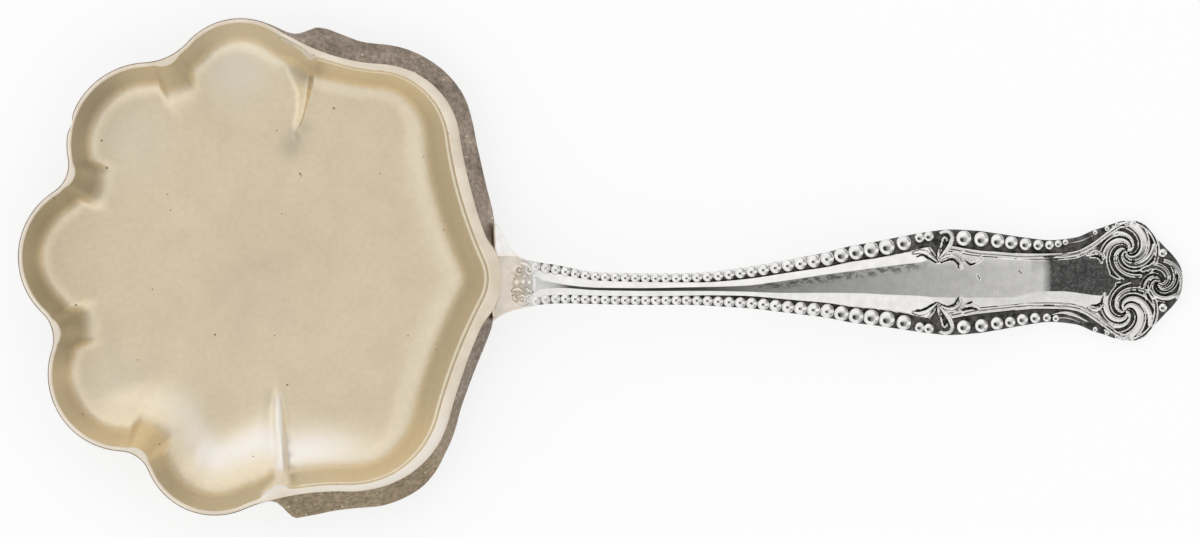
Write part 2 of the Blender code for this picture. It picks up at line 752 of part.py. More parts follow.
def ridge_pieces():
    """Spiral ridges that wind into the end scrolls."""
    pieces = []
    steps = 22
    for along, across, radius, way in scroll_centres():
        points, radii = [], []
        for step in range(steps + 1):
            share = step / steps
            angle = way * (math.pi * 0.9 - 2 * math.pi * SCROLL_TURNS * share)
            reach = (radius - RIDGE_RADIUS) * (1.0 - 0.8 * share)
            points.append((along + reach * math.cos(angle), across + reach * math.sin(angle),
                           -0.1 * END_THICKNESS))
            radii.append(RIDGE_RADIUS * radius / SCROLL_RADIUS * (1.0 - 0.45 * share))
        pieces.append(tube(points, radii))
    return pieces


def prism(name, outline, low, high):
    """Upright block on an outline."""
    count = len(outline)
    vertices = [Vector((p.x, p.y, z)) for z in (low, high) for p in outline]
    faces = [list(range(count)), list(range(count, 2 * count))]
    faces += [(i, (i + 1) % count, count + (i + 1) % count, count + i) for i in range(count)]
    return add_object(name, vertices, faces)


def make_handle(stations):
    """Struck handle: body and relief in one piece, with its heel cut to the bowl."""
    body = make_handle_body()
    join_relief(body, "bead_guide", bead_pieces())
    join_relief(body, "leaf_guide", leaf_pieces())
    join_relief(body, "floret_guide", floret_pieces())
    join_relief(body, "scroll_guide", scroll_pieces())
    join_relief(body, "ridge_guide", ridge_pieces())
    gap = SEAM_THICKNESS + 2 * SEAM_CLEARANCE
    outline = [skirt_edge(station, gap) for station in stations]
    fuse(body, prism("heel_cutter", outline, -BOWL_DEPTH, 3 * BOWL_DEPTH), "DIFFERENCE")
    smooth(body)
    return body


def make_solder_seam(stations):
    """Film of solder that fills the gap between the skirt and the heel."""
    chosen = []
    for station in stations:
        edge = skirt_edge(station, SEAM_CLEARANCE + SEAM_THICKNESS)
        room = half_width(edge.x - heel_x()) - BEAD_OVERHANG - EDGE_CHAMFER
        if edge.x > heel_x() - HEEL_LAP and abs(edge.y - axis_y(edge.x)) < room:
            chosen.append(station)
    chosen.sort(key=lambda s: s["point"].y)
    near = [skirt_edge(s, SEAM_CLEARANCE) for s in chosen]
    far = [skirt_edge(s, SEAM_CLEARANCE + SEAM_THICKNESS) for s in chosen]
    top = BOWL_DEPTH
    seam = prism("solder_seam", near + far[::-1], top - SEAM_HEIGHT, top)
    seam.data.materials.append(metal("solder", SOLDER, 0.35))
    smooth(seam)
    return seam


def main():
    """Build the spoon's pieces under one empty."""
    clear_scene()
    spoon = bpy.data.objects.new("spoon", None)
    bpy.context.scene.collection.objects.link(spoon)
    stations = rim_stations()
    for piece in (make_bowl(stations), make_gold_wash(stations),
                  make_handle(stations), make_solder_seam(stations)):
        piece.parent = spoon


main()
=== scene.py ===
# %% [markdown]
# # A bonbon spoon in silver and gold wash
# The spoon has two struck pieces of silver: a shallow bowl with round lobes, and a
# handle with bead borders and whirling scrolls at its end. The inside of the bowl is
# gilt. This lesson dresses the packed model of the spoon: every piece here stands for a
# piece of that model and sits where it sits. The packed model has all the sizes, so it
# is loaded first.
#
# Lengths in this lesson are written in millimetres and turned into metres where a mesh
# is made.

# %% Load the packed model
import math

import bpy
import numpy as np
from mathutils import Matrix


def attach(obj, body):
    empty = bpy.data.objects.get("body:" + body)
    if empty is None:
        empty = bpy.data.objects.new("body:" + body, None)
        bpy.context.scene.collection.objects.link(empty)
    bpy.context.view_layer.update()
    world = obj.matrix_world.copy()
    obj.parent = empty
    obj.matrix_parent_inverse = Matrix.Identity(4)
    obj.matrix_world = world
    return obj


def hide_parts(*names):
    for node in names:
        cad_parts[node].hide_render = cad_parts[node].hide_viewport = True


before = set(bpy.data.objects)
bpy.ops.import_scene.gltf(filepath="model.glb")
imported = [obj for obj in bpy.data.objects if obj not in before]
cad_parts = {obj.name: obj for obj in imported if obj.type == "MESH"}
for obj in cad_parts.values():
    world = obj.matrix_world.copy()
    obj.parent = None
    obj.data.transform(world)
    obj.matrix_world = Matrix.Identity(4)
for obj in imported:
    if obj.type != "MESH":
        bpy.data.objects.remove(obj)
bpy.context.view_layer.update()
MM = 0.001
scene = bpy.context.scene
print("pieces of the packed model:", sorted(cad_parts))

# %% [markdown]
# ## The camera
# The photograph looks straight down on the spoon. A long lens far away keeps the high
# rim and the low tip of the handle at the same scale. An orthographic camera would do the
# same, but a long lens shows the polished silver its surroundings as a real camera does.

# %% Camera
FRAME_WIDTH = 131.04
FRAME_MIDDLE = (37.56, -0.05)
RIM_HEIGHT = 7.0
LENS = 700.0
SENSOR_WIDTH = 36.0


def look_down():
    """Put a camera above the spoon with its upper edge towards +Y."""
    eye = bpy.data.cameras.new("camera")
    eye.lens = LENS
    eye.sensor_width = SENSOR_WIDTH
    eye.clip_start = 0.01
    camera = bpy.data.objects.new("camera", eye)
    scene.collection.objects.link(camera)
    distance = FRAME_WIDTH * LENS / SENSOR_WIDTH
    camera.location = (FRAME_MIDDLE[0] * MM, FRAME_MIDDLE[1] * MM, (RIM_HEIGHT + distance) * MM)
    scene.camera = camera
    print("camera height in mm:", round(RIM_HEIGHT + distance))


look_down()

# %% [markdown]
# ## Curves by table
# Most outlines here were measured at a few places. `curve_through` joins such places
# with a smooth curve that never overshoots, and `ease` goes from 0 to 1 without a corner.
# Blender's curve objects could draw the same lines by hand. A table was chosen because it
# keeps every measured place in sight, and the curve can be read at any place between.

# %% Helpers for curves


def ease(value):
    """Go from 0 to 1 without a corner at either end."""
    value = np.clip(value, 0.0, 1.0)
    return value * value * (3.0 - 2.0 * value)


def between(value, start, rise, end, fall):
    """Go softly up to 1 after the start and softly back to 0 after the end."""
    return ease((value - start) / rise) * (1 - ease((value - end) / fall))


def bell(value, middle, width):
    """Round bump that is 1 at its middle."""
    return np.exp(-((value - middle) / width) ** 2)


def curve_through(table, at):
    """Value at a place on a smooth curve through (place, value) pairs."""
    x, y = np.array(table, dtype=float).T
    step = np.diff(x)
    slope = np.diff(y) / step
    lean = np.zeros_like(y)
    same_way = slope[:-1] * slope[1:] > 0
    total = np.where(same_way, slope[:-1] + slope[1:], 1.0)
    lean[1:-1] = np.where(same_way, 2 * slope[:-1] * slope[1:] / total, 0.0)
    at = np.clip(at, x[0], x[-1])
    i = np.clip(np.searchsorted(x, at, side="right") - 1, 0, len(step) - 1)
    t = (at - x[i]) / step[i]
    level = y[i] * (1 + 2 * t) * (1 - t) ** 2 + y[i + 1] * t * t * (3 - 2 * t)
    return level + step[i] * (lean[i] * t * (1 - t) ** 2 - lean[i + 1] * t * t * (1 - t))


print("a quarter of the way, ease gives", ease(0.25))

# %% [markdown]
# ## Shaping a grid
# Pressed sheet and struck relief are both one continuous surface, so each is laid as a
# flat grid and then pressed into shape: every point of the grid is moved to its place in
# a table. Edges that meet are welded afterwards, and the faces turned outwards. Pulling
# each edge loop by hand would need thousands of moves, and sculpting can't be repeated.

# %% Helper that presses a grid into shape
WELD_GAP = 2e-6


def edit_all(piece):
    """Select one piece and go into edit mode with all of it selected."""
    bpy.ops.object.select_all(action="DESELECT")
    bpy.context.view_layer.objects.active = piece
    piece.select_set(True)
    bpy.ops.object.mode_set(mode="EDIT")
    bpy.ops.mesh.select_all(action="SELECT")


def weld(piece, sharp_angle):
    """Weld the meeting edges, close open ends, face outwards and shade smoothly."""
    edit_all(piece)
    bpy.ops.mesh.remove_doubles(threshold=WELD_GAP)
    bpy.ops.mesh.select_all(action="DESELECT")
    bpy.ops.mesh.select_mode(type="EDGE")
    bpy.ops.mesh.select_non_manifold()
    bpy.ops.mesh.fill_holes(sides=0)
    bpy.ops.mesh.select_all(action="SELECT")
    bpy.ops.mesh.normals_make_consistent(inside=False)
    bpy.ops.object.mode_set(mode="OBJECT")
    bpy.ops.object.shade_smooth_by_angle(angle=math.radians(sharp_angle))


def shaped_grid(name, places, marks=None, sharp_angle=40.0):
    """Lay a flat grid and move each of its points to its place in a table."""
    rows, columns = places.shape[:2]
    bpy.ops.object.select_all(action="DESELECT")
    bpy.ops.mesh.primitive_grid_add(x_subdivisions=columns - 1, y_subdivisions=rows - 1, size=2)
    piece = bpy.context.object
    piece.name = name
    mesh = piece.data
    mesh.name = name
    flat = np.empty(len(mesh.vertices) * 3, dtype=np.float32)
    mesh.vertices.foreach_get("co", flat)
    flat = flat.reshape(-1, 3)
    column = np.rint((flat[:, 0] + 1) / 2 * (columns - 1)).astype(int)
    row = np.rint((flat[:, 1] + 1) / 2 * (rows - 1)).astype(int)
    mesh.vertices.foreach_set("co", (places[row, column] * MM).astype(np.float32).ravel())
    for label, values in (marks or {}).items():
        layer = mesh.attributes.new(label, "FLOAT", "POINT")
        layer.data.foreach_set("value", values[row, column].astype(np.float32))
    weld(piece, sharp_angle)
    print(name, "has", len(mesh.polygons), "faces")
    return piece


def closed(table):
    """Repeat the first column after the last, so that a ring closes."""
    return np.concatenate([table, table[:, :1]], axis=1)


print("points closer than", WELD_GAP / MM, "mm are welded")

# %% [markdown]
# ## The rim line
# The bowl's rim is a chain of arcs. Five round lobes, two broad shoulders and a small
# arc at the handle are each drawn from a centre, and a hollow arc joins each one to the
# next. The die for such a rim was laid out with compasses in the same way, so arcs fit it
# better than a freehand curve.

# %% Rim line
# Bearing in degrees, reach, radius, and radius of the hollow arc to the next one.
ARCS = ((-3.2, 25.5, 5.0, 50.0), (46.0, 26.8, 8.3, 22.0), (95.0, 26.8, 7.2, 7.4),
        (131.0, 26.3, 8.4, 4.1), (176.0, 25.5, 7.9, 4.5), (219.0, 26.3, 7.9, 4.0),
        (256.8, 27.0, 7.3, 28.0), (306.8, 27.1, 10.1, 60.0))
ARC_POINTS = 200


def toward(bearing, reach):
    """Point at a bearing in degrees and a distance from the middle of the bowl."""
    return reach * np.array([math.cos(math.radians(bearing)), math.sin(math.radians(bearing))])


def arc(centre, radius, first, last, turn):
    """Points on an arc that starts facing one point and ends facing another."""
    start = math.atan2(*(first - centre)[::-1])
    end = math.atan2(*(last - centre)[::-1])
    sweep = (end - start) * turn % (2 * math.pi) * turn
    angle = start + sweep * np.linspace(0.0, 1.0, ARC_POINTS, endpoint=False)
    return centre + radius * np.stack([np.cos(angle), np.sin(angle)], axis=1)


def rim_line():
    """Rim of the bowl as a fine chain of points, once round."""
    centres = [toward(bearing, reach - radius) for bearing, reach, radius, _ in ARCS]
    following = centres[1:] + centres[:1]
    hollows = []
    for index, (_, _, radius, hollow) in enumerate(ARCS):
        across = following[index] - centres[index]
        span = np.hypot(*across)
        near, far = radius + hollow, ARCS[(index + 1) % len(ARCS)][2] + hollow
        along = (span ** 2 + near ** 2 - far ** 2) / (2 * span)
        sideways = np.array([across[1], -across[0]]) / span * math.sqrt(near ** 2 - along ** 2)
        hollows.append(centres[index] + across / span * along + sideways)
    line = []
    for index, (_, _, radius, hollow) in enumerate(ARCS):
        line.append(arc(centres[index], radius, hollows[index - 1], hollows[index], 1))
        line.append(arc(hollows[index], hollow, centres[index], following[index], -1))
    return np.concatenate(line)


fine_rim = rim_line()
print("points on the rim line:", len(fine_rim))

# %% [markdown]
# ## Stations round the rim
# All that changes round the bowl is given at its stations, even steps along the rim that
# start at the handle. Even steps give even faces, where equal angles would crowd them in
# the hollows between the lobes.

# %% Stations
STATIONS = 720


def even_stations(line):
    """Points in even steps along the rim from the handle, their outward ways and the length."""
    bearings = np.degrees(np.arctan2(line[:, 1], line[:, 0]))
    line = np.roll(line, -np.argmin(np.abs(bearings - ARCS[0][0])), axis=0)
    line = np.vstack([line, line[:1]])
    travel = np.concatenate([[0.0], np.cumsum(np.hypot(*np.diff(line, axis=0).T))])
    at = np.arange(STATIONS) * travel[-1] / STATIONS
    points = np.stack([np.interp(at, travel, line[:, 0]), np.interp(at, travel, line[:, 1])], axis=1)
    way = np.roll(points, -1, axis=0) - np.roll(points, 1, axis=0)
    way /= np.hypot(*way.T)[:, None]
    return points, np.stack([way[:, 1], -way[:, 0]], axis=1), at, travel[-1]


rim, outward, travel, rim_length = even_stations(fine_rim)
bearing = np.degrees(np.arctan2(rim[:, 1], rim[:, 0])) % 360.0
print("rim length in mm:", round(rim_length, 1))

# %% [markdown]
# ## What changes round the rim
# The front lobes have a narrow land and a plain rounded lip. Behind the two folds the
# land is broader, and the sheet outside it is turned down to a skirt. The tables give
# how far the lip or skirt stands out from the crest, by the distance from the handle. One
# table for each side was chosen over one outline, because each says what it stands for.

# %% Land, lip and skirt round the rim
LEFT_EDGE = ((0, 1.36), (2.5, 1.42), (4.0, 1.9), (6.0, 2.5), (8.0, 2.79), (12.8, 2.91), (17.4, 2.8),
             (20.0, 2.98), (24.5, 2.91), (30.0, 2.9), (32.7, 3.13), (34.6, 3.2), (36.2, 2.9),
             (37.2, 2.1), (38.2, 1.45), (41.0, 0.95), (44.0, 0.56))
RIGHT_EDGE = ((0, 1.36), (2.0, 1.4), (3.2, 1.75), (5.0, 2.15), (7.1, 2.25), (11.3, 2.2), (14.9, 2.1),
              (18.5, 2.25), (20.9, 2.7), (22.6, 2.92), (25.8, 2.8), (28.3, 2.55), (30.1, 2.74),
              (33.9, 3.14), (35.5, 3.16), (36.0, 2.9), (36.6, 2.3), (37.3, 1.5), (38.2, 0.9), (39.9, 0.56))
LEFT_FORMED = ((36.0, 1.0), (39.0, 0.45), (44.0, 0.0))
RIGHT_FORMED = ((35.6, 1.0), (37.6, 0.45), (39.9, 0.0))
LAND = ((0, 1.4), (2.6, 1.38), (5.0, 1.05), (12.0, 1.15), (18.0, 1.15), (22.0, 1.0), (28.0, 0.7),
        (34.0, 0.65), (38.0, 0.58), (40.0, 0.46))
WALL_LEFT = ((0, 1.35), (12.0, 1.35), (20.0, 1.05), (26.0, 0.78), (36.0, 0.78), (42.0, 1.0))
WALL_RIGHT = ((0, 1.35), (14.0, 1.3), (20.0, 1.1), (25.0, 0.9), (36.0, 0.88), (40.0, 1.0))
NICK = (-19.98, 15.7)
NICK_DEPTH = 0.3
NICK_SPREAD = 0.5

from_neck = np.minimum(travel, rim_length - travel)
left_side = travel < rim_length / 2


def by_side(left_table, right_table):
    """Curve for the left side of the bowl and curve for the right side, by distance from the handle."""
    return np.where(left_side, curve_through(left_table, from_neck), curve_through(right_table, from_neck))


edge = by_side(LEFT_EDGE, RIGHT_EDGE)
formed = by_side(LEFT_FORMED, RIGHT_FORMED)
wall_width = by_side(WALL_LEFT, WALL_RIGHT)
nick = NICK_DEPTH * np.exp(-((rim - np.array(NICK)) ** 2).sum(axis=1) / NICK_SPREAD)
land = curve_through(LAND, from_neck) - nick
print("stations behind the folds:", int((formed > 0.5).sum()), "of", STATIONS)

# %% [markdown]
# ## Notches and folds in the rim
# Between two lobes the rim is pinched to a notch, and a short flat rib runs down the wall
# from it. The two folds gather the sheet where the front lobes meet the plain back. At the
# upper fold the lining was pulled out over the rim, and at the lower one it was pushed in.
# A few shares round the rim say all this, and the lining is shaped from them below.

# %% Notches and folds round the rim
FOLD_BEARINGS = (76.8, 275.4)
RIB_HALF_WIDTH = 1.5
RIB_FLAT, RIB_SIDE = 0.9, 0.7
NOTCH_PUSH, FOLD_PUSH = 0.4, 0.6
FOLD_PULL, FRONT_PULL = 0.32, 0.1

notch_bearings = [(first[0] + second[0]) / 2 for first, second in zip(ARCS[2:6], ARCS[3:7])]
notches = [travel[np.argmin(np.abs(bearing - notch))] for notch in notch_bearings]
aside = np.abs(travel[:, None] - np.array(notches)[None]).min(axis=1)
notch = np.clip(1 - (aside / RIB_HALF_WIDTH) ** 2, 0, 1)
rib = 1 - ease((aside - RIB_FLAT) / RIB_SIDE)
fold_stations = [travel[np.argmin(np.abs(bearing - fold))] for fold in FOLD_BEARINGS]
fold_gap = np.abs(travel[:, None] - np.array(fold_stations)[None]).min(axis=1)
fold_pull = np.where(left_side, FOLD_PULL * ease(1.3 - fold_gap / 4.0), 0.0)
fold_push = np.where(left_side, 0.0, FOLD_PUSH * np.clip(1 - fold_gap / 2.0, 0, 1) ** 1.3)
pushed_in = NOTCH_PUSH * notch + fold_push
pulled_out = fold_pull + FRONT_PULL * (1 - ease(formed))
print("notches at mm along the rim:", np.round(notches, 1), "folds at", np.round(fold_stations, 1))

# %% [markdown]
# ## The gilt lining
# Gold wash covers the inside of the bowl and the land of the rim. Its shape is the shape
# of the pressed sheet: a steep wall that runs out into a floor with a faint dish, short
# flat ribs between the lobes, and two long folds. The wall is given as a table of
# distance in from the crest and height. A bevelled and inset disc would come close, but
# its wall would have one section all round, and here the back differs from the lobes.

# %% Lining: wall and floor
FLOOR = 0.62
CREST = 6.96
LOBE_WALL = ((0, 6.96), (0.06, 6.8), (0.35, 5.6), (0.7, 4.2), (1.05, 2.95), (1.4, 1.95), (1.75, 1.3),
             (2.1, 0.95), (2.6, 0.74), (3.4, 0.64), (4.6, 0.62))
BACK_WALL = ((0, 6.96), (0.1, 6.75), (0.22, 6.55), (0.42, 6.45), (0.52, 6.1), (0.9, 4.8), (1.35, 3.3),
             (1.8, 2.1), (2.25, 1.35), (2.75, 0.95), (3.4, 0.74), (4.0, 0.65), (4.6, 0.62))
SCOOP = ((0, 2.85), (2.0, 2.21), (4.0, 1.49), (5.0, 1.11), (6.0, 0.75), (7.0, 0.45), (8.0, 0.235),
         (9.0, 0.105), (10.0, 0.04), (12.0, 0))
SCOOPED = ((200, 0), (218, 0.1), (232, 0.4), (244, 0.85), (252, 1.0), (285, 1.0), (298, 0.6), (310, 0.2),
           (330, 0))
SCOOP_SHIFT = 2.0
DISH, DISH_WIDTH = 0.25, 7.0
RIB_WIDENING = 0.7

scooped = curve_through(SCOOPED, bearing)
scoop_shift = SCOOP_SHIFT * ease((bearing - 272) / 8)


def wall_share(depth, ribs):
    """Height of the wall as a share of its full height, at distances in from the crest."""
    depth = depth / wall_width / (1 + RIB_WIDENING * rib * ribs)
    lobe = (curve_through(LOBE_WALL, depth) - FLOOR) / (CREST - FLOOR)
    back = (curve_through(BACK_WALL, depth) - FLOOR) / (CREST - FLOOR)
    return lobe + (back - lobe) * ease(formed) * ease((fold_gap - 0.8) / 2.0)


def dish(depth):
    """Rise of the floor towards the wall: faint for the most part, a broad scoop on the -Y side."""
    faint = DISH * np.clip(1 - depth / DISH_WIDTH, 0, 1) ** 2
    return faint + (curve_through(SCOOP, depth + scoop_shift) - faint) * scooped


print("wall height in mm:", round(CREST - FLOOR, 2))

# %% [markdown]
# ### The two folds
# Each fold is a crease that runs from the rim down the wall and out on the floor. The upper
# one has a gentle flank and a steep one, which shows as a dark line. A fold is given by its
# path, the rise along it and the slopes of its flanks. The columns of the grid are slid
# sideways until one of them lies along the crest, because a crest that crosses columns
# comes out as a row of small steps.

# %% Lining: folds
# Path, rises along it, slopes of the left and right flank, and bluntness of the crest.
FOLDS = ((((5.79, 24.6), (5.79, 22.1), (5.46, 18.8), (5.0, 16.6), (4.3, 14.9)),
          (3.2, 1.7, 0.6, 0.36, 0.2), 0.75, 3.0, 0.12),
         (((2.4, -25.0), (3.0, -23.4), (2.75, -19.9), (2.5, -16.4), (2.4, -14.2)),
          (1.6, 0.9, 0.65, 0.6, 0.35), 0.9, 2.0, 0.4))
NO_RISE = -9.0
FOLD_FOOT = 0.02
SLIDE_COLUMNS = 7.0


def fold_rise(x, y, fold):
    """Rise of the ridge of one fold over the lining, at places in plan."""
    path, rises, left_slope, right_slope, bluntness = fold
    rise = np.full(x.shape, NO_RISE)
    for start, end, first, last in zip(path, path[1:], rises, rises[1:]):
        way = np.subtract(end, start)
        t = np.clip(((x - start[0]) * way[0] + (y - start[1]) * way[1]) / (way @ way), 0, 1)
        u, v = x - start[0] - t * way[0], y - start[1] - t * way[1]
        slope = np.where(u > 0, right_slope, left_slope)
        fall = slope * (np.sqrt(u ** 2 + v ** 2 + bluntness ** 2) - bluntness)
        rise = np.maximum(rise, first + (last - first) * t - fall)
    return 0.5 * (rise + np.sqrt(rise ** 2 + FOLD_FOOT))


def follow_fold(plan, path):
    """Slide the columns beside a fold sideways, so that one of them runs along its crest."""
    middle = path[len(path) // 2]
    gap = np.hypot(plan[..., 0] - middle[0], plan[..., 1] - middle[1])
    column = np.unravel_index(np.argmin(gap), gap.shape)[1]
    x, y = np.array(path)[::-1].T
    reach = np.abs(plan[:, column, 1])
    slide = np.interp(reach, np.abs(y), x) - plan[:, column, 0]
    slide = slide * between(reach, 10.0, 4.5, 22.5, 2.0)
    aside = (np.arange(STATIONS) - column + STATIONS // 2) % STATIONS - STATIONS // 2
    plan[..., 0] += slide[:, None] * bell(aside, 0.0, SLIDE_COLUMNS)[None]


print("folds:", len(FOLDS))

# %% [markdown]
# ### The surface of the lining
# The grid of the lining has a ring of points for each row: from the middle of the floor
# out to the foot of the wall, up the wall, and over the land. Rows lie closer where the
# section turns sharply. A second, plain surface without ribs and folds is kept for the
# back of the coat and for the silver under it.

# %% Lining: surface
POLE = np.array([2.8, 0.5])
INNER_ROWS = np.array([0, .1, .22, .33, .42, .5, .56, .61, .66, .7, .74, .78, .81, .84, .87, .9, .93, .96,
                       .98])
WALL_ROWS = np.array([4.6, 4.3, 4.0, 3.7, 3.4, 3.15, 2.9, 2.65, 2.4, 2.15, 1.9, 1.7, 1.5, 1.3, 1.1, .95, .8,
                      .68, .6, .52, .44, .36, .3, .24, .18, .12, .08, .04, 0])
LAND_ROWS = ((.1, 6.985), (.25, 7.0), (.5, 7.01), (.75, 7.0), (.88, 6.985), (.95, 6.96), (.98, 6.92),
             (1.0, 6.87))
FLARE_DEPTH = 1.6
LEAST_LAND = 0.2
NECK_JOIN, NECK_FADE = 2.6, 1.2
COAT = 0.08


def lining_surface(ribs):
    """Rows from the middle of the floor to the edge of the land, with the ribs and folds or without."""
    inset = pushed_in if ribs else np.zeros(STATIONS)
    top_edge = rim - outward * inset[:, None]
    foot = top_edge - outward * WALL_ROWS[0]
    floor = POLE + (foot - POLE)[None] * INNER_ROWS[:, None, None]
    floor_depth = WALL_ROWS[0] + np.hypot(*np.moveaxis(foot[None] - floor, 2, 0))
    flare = pulled_out[None] * (1 - ease(WALL_ROWS / FLARE_DEPTH))[:, None]
    wall = top_edge[None] - outward[None] * (WALL_ROWS[:, None] - flare)[..., None]
    plan = np.concatenate([floor, wall])
    depth = np.concatenate([floor_depth, np.repeat(WALL_ROWS[:, None], STATIONS, axis=1)])
    share = wall_share(depth, ribs)
    height = FLOOR + dish(depth) * (1 - share) + (CREST - FLOOR) * share
    for fold in FOLDS if ribs else ():
        follow_fold(plan, fold[0])
        height = height + fold_rise(plan[..., 0], plan[..., 1], fold)
    height = np.minimum(height, CREST)
    shares, levels = np.array(LAND_ROWS).T
    width = np.maximum(land + inset, pulled_out + LEAST_LAND)
    joined = 1 - ease((from_neck - NECK_JOIN) / NECK_FADE)
    reach = pulled_out + shares[:, None] * (width - pulled_out)
    flat = top_edge[None] + outward[None] * reach[..., None]
    plan = np.concatenate([plan, flat])
    height = np.concatenate([height, levels[:, None] + (RIM_HEIGHT - levels[:, None]) * joined])
    return np.concatenate([plan, height[..., None]], axis=2), share, depth


inside, wall_mark, wall_depth = lining_surface(True)
plain_inside = lining_surface(False)[0]
wall_first = len(INNER_ROWS)
land_first = wall_first + len(WALL_ROWS)
hidden = np.concatenate([[len(inside) - 2, len(inside) - 5], np.arange(land_first - 1, wall_first - 1, -1),
                         np.arange(wall_first - 1, 6, -2), [6, 3, 0]])
coat = plain_inside[hidden] - (0, 0, COAT)
print("rows of the lining:", len(inside), "and of its back:", len(coat))

# %% [markdown]
# ### Marks for the finish
# Wear, faint stains, painted shade on the wall and beside the folds, and painted highlights
# follow the shape, so each is stored on the points of the lining as a number from 0 to 1.
# The material reads these marks later. Painting them by hand on a picture would do as
# well, but a mark moves with its shape.

# %% Lining: marks for the finish
# Place in X and Y, size and strength of each soft spot.
# Painted shade beside the two folds and on the wall next to them, and a few faint stains.
FOLD_SHADE_AND_STAINS = ((4.1, 14.6, 0.5, 0.7), (3.9, 13.5, 1.0, 0.42), (5.1, 15.2, 0.7, 0.25), (1.7, -14.2, 0.6, 0.3),
           (1.1, -0.8, 4.5, 0.14), (4.9, 21.2, 0.8, 0.5), (6.8, 21.7, 0.6, 0.4), (3.55, -19.0, 0.22, 0.3),
           (3.7, -20.4, 0.22, 0.4), (3.85, -21.8, 0.25, 0.45), (3.9, -22.8, 0.3, 0.4),
           (28.3, -1.6, 1.5, 0.12), (5.93, 21.6, 0.24, 0.5), (5.82, 20.7, 0.21, 0.5),
           (5.69, 19.8, 0.19, 0.46), (5.56, 18.9, 0.17, 0.4))
# Painted highlights on the floor near the walls and along one rib.
HIGHLIGHT_SPOTS = ((-2.2, 21.6, 2.6, 0.5), (-13.6, 14.5, 3.0, 0.3), (-16.0, -13.0, 3.0, 0.25),
              (-9.3, -17.2, 0.3, 0.75), (-9.05, -18.1, 0.28, 0.6), (-8.75, -19.1, 0.28, 0.45),
              (-8.45, -20.2, 0.28, 0.3))
# Painted highlight on the land: the first table lightens the land by bearing, where the light leaves it
# darker.
# Bearing in degrees and strength.
LAND_HIGHLIGHT = ((0, 0), (40, 0.15), (70, 0.25), (100, 0.1), (140, 0.3), (176, 0.55), (215, 0.45), (250, 0.35),
             (280, 0.5), (292, 0.9), (318, 0.85), (326, 0.2), (360, 0))
# Painted shade on the wall by bearing: darker where the wall faces away from the light.
WALL_SHADE = ((0, 0.7), (22, 0.7), (38, 0.55), (52, 0.3), (70, 0.3), (85, 0.5), (104, 0.52), (120, 0.6),
             (131, 1.0), (150, 0.95), (155, 0.86), (176, 0.84), (193, 0.86), (202, 0.86), (208, 0.4),
             (219, 0.28), (231, 0.2), (236, 0.0), (240, 0.0), (245, 0.38), (257, 0.42), (272, 0.4),
             (290, 0.22), (312, 0.2), (330, 0.6), (360, 0.7))
LAND_FADE = (1, 1, 1, .8, .5, .3, .2, .1)
WALL_SHARE = 0.3
STEP_AT, STEP_WIDTH, STEP_PALE = 0.3, 0.13, 0.75
FOOT_AT, FOOT_WIDTH, FOOT_DARK = 2.95, 0.95, 0.2
# Painted highlights: a glow in the scoop, and a streak along the crest of the lower fold.
GLOW_AT, GLOW_WIDTH = 6.0, 2.3
CREST_HIGHLIGHT_RISE = 0.5


def spotted(spots):
    """Soft round spots, each with a place, a size and a strength."""
    shade = np.zeros(inside.shape[:2])
    for x, y, size, strength in spots:
        gap = (inside[..., 0] - x) ** 2 + (inside[..., 1] - y) ** 2
        shade = np.maximum(shade, strength * np.exp(-gap / (2 * size ** 2)))
    return shade


def painted_wall_shade():
    """Painted shade on the wall, lighter on a step near its top, with faint painted shade at its foot."""
    shading = np.ones(inside.shape[:2])
    step = bell(wall_depth / wall_width, STEP_AT, STEP_WIDTH) * ease(formed)
    wall = ease(wall_mark / WALL_SHARE) * curve_through(WALL_SHADE, bearing) * (1 - STEP_PALE * step)
    foot = bell(wall_depth / wall_width, FOOT_AT, FOOT_WIDTH) * ease(formed) * (1 - scooped)
    shading[:land_first] = np.maximum(wall, FOOT_DARK * foot)
    return shading


def painted_highlights():
    """Painted highlights on spots, in the scoop, along the crest of the lower fold and on the land by
    bearing.
    """
    pale = spotted(HIGHLIGHT_SPOTS)
    crest_highlight = np.clip(fold_rise(inside[..., 0], inside[..., 1], FOLDS[1]) / CREST_HIGHLIGHT_RISE, 0, 1)
    glow = bell(wall_depth + scoop_shift, GLOW_AT, GLOW_WIDTH) * scooped ** 2
    glow *= 1 - ease(wall_mark / WALL_SHARE)
    pale[:land_first] = np.maximum(np.maximum(pale, crest_highlight)[:land_first], glow)
    pale[land_first:] = np.array(LAND_FADE)[:, None] * curve_through(LAND_HIGHLIGHT, bearing)
    return pale


worn = np.zeros(inside.shape[:2])
worn[land_first - 2:] = 1.0
# Three of these marks are painted light: shade on the wall, shade beside the folds with faint stains, and
# highlights.
marks = {"worn": worn, "wall": painted_wall_shade(), "smudge": spotted(FOLD_SHADE_AND_STAINS), "pale": painted_highlights()}
print("mean strength of the marks:", {label: round(float(mark.mean()), 3) for label, mark in marks.items()})

# %% [markdown]
# ### The finished lining
# The upper face and the back of the coat together make one closed skin. The back lies
# hidden inside the silver, so it needs no marks.

# %% Lining: finished piece


def mark_rows(values):
    """Marks of the upper face followed by none for the hidden face, closed to a ring."""
    return closed(np.concatenate([values, np.zeros((len(hidden), STATIONS))]))


gold_lining = shaped_grid("gold_lining", closed(np.concatenate([inside, coat])),
                          {label: mark_rows(mark) for label, mark in marks.items()}, 60.0)
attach(gold_lining, "root")
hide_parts("gold_wash")

# %% [markdown]
# ## The silver bowl
# Under the lining lies the pressed silver sheet. From above only its lip and the
# turned-down skirt show. The section goes from the land over the lip or skirt, back up
# behind it, and down the outer wall to the flat underside. Solidify could give the lining
# a thickness, but the skirt hangs free of the wall, so the section is drawn whole.

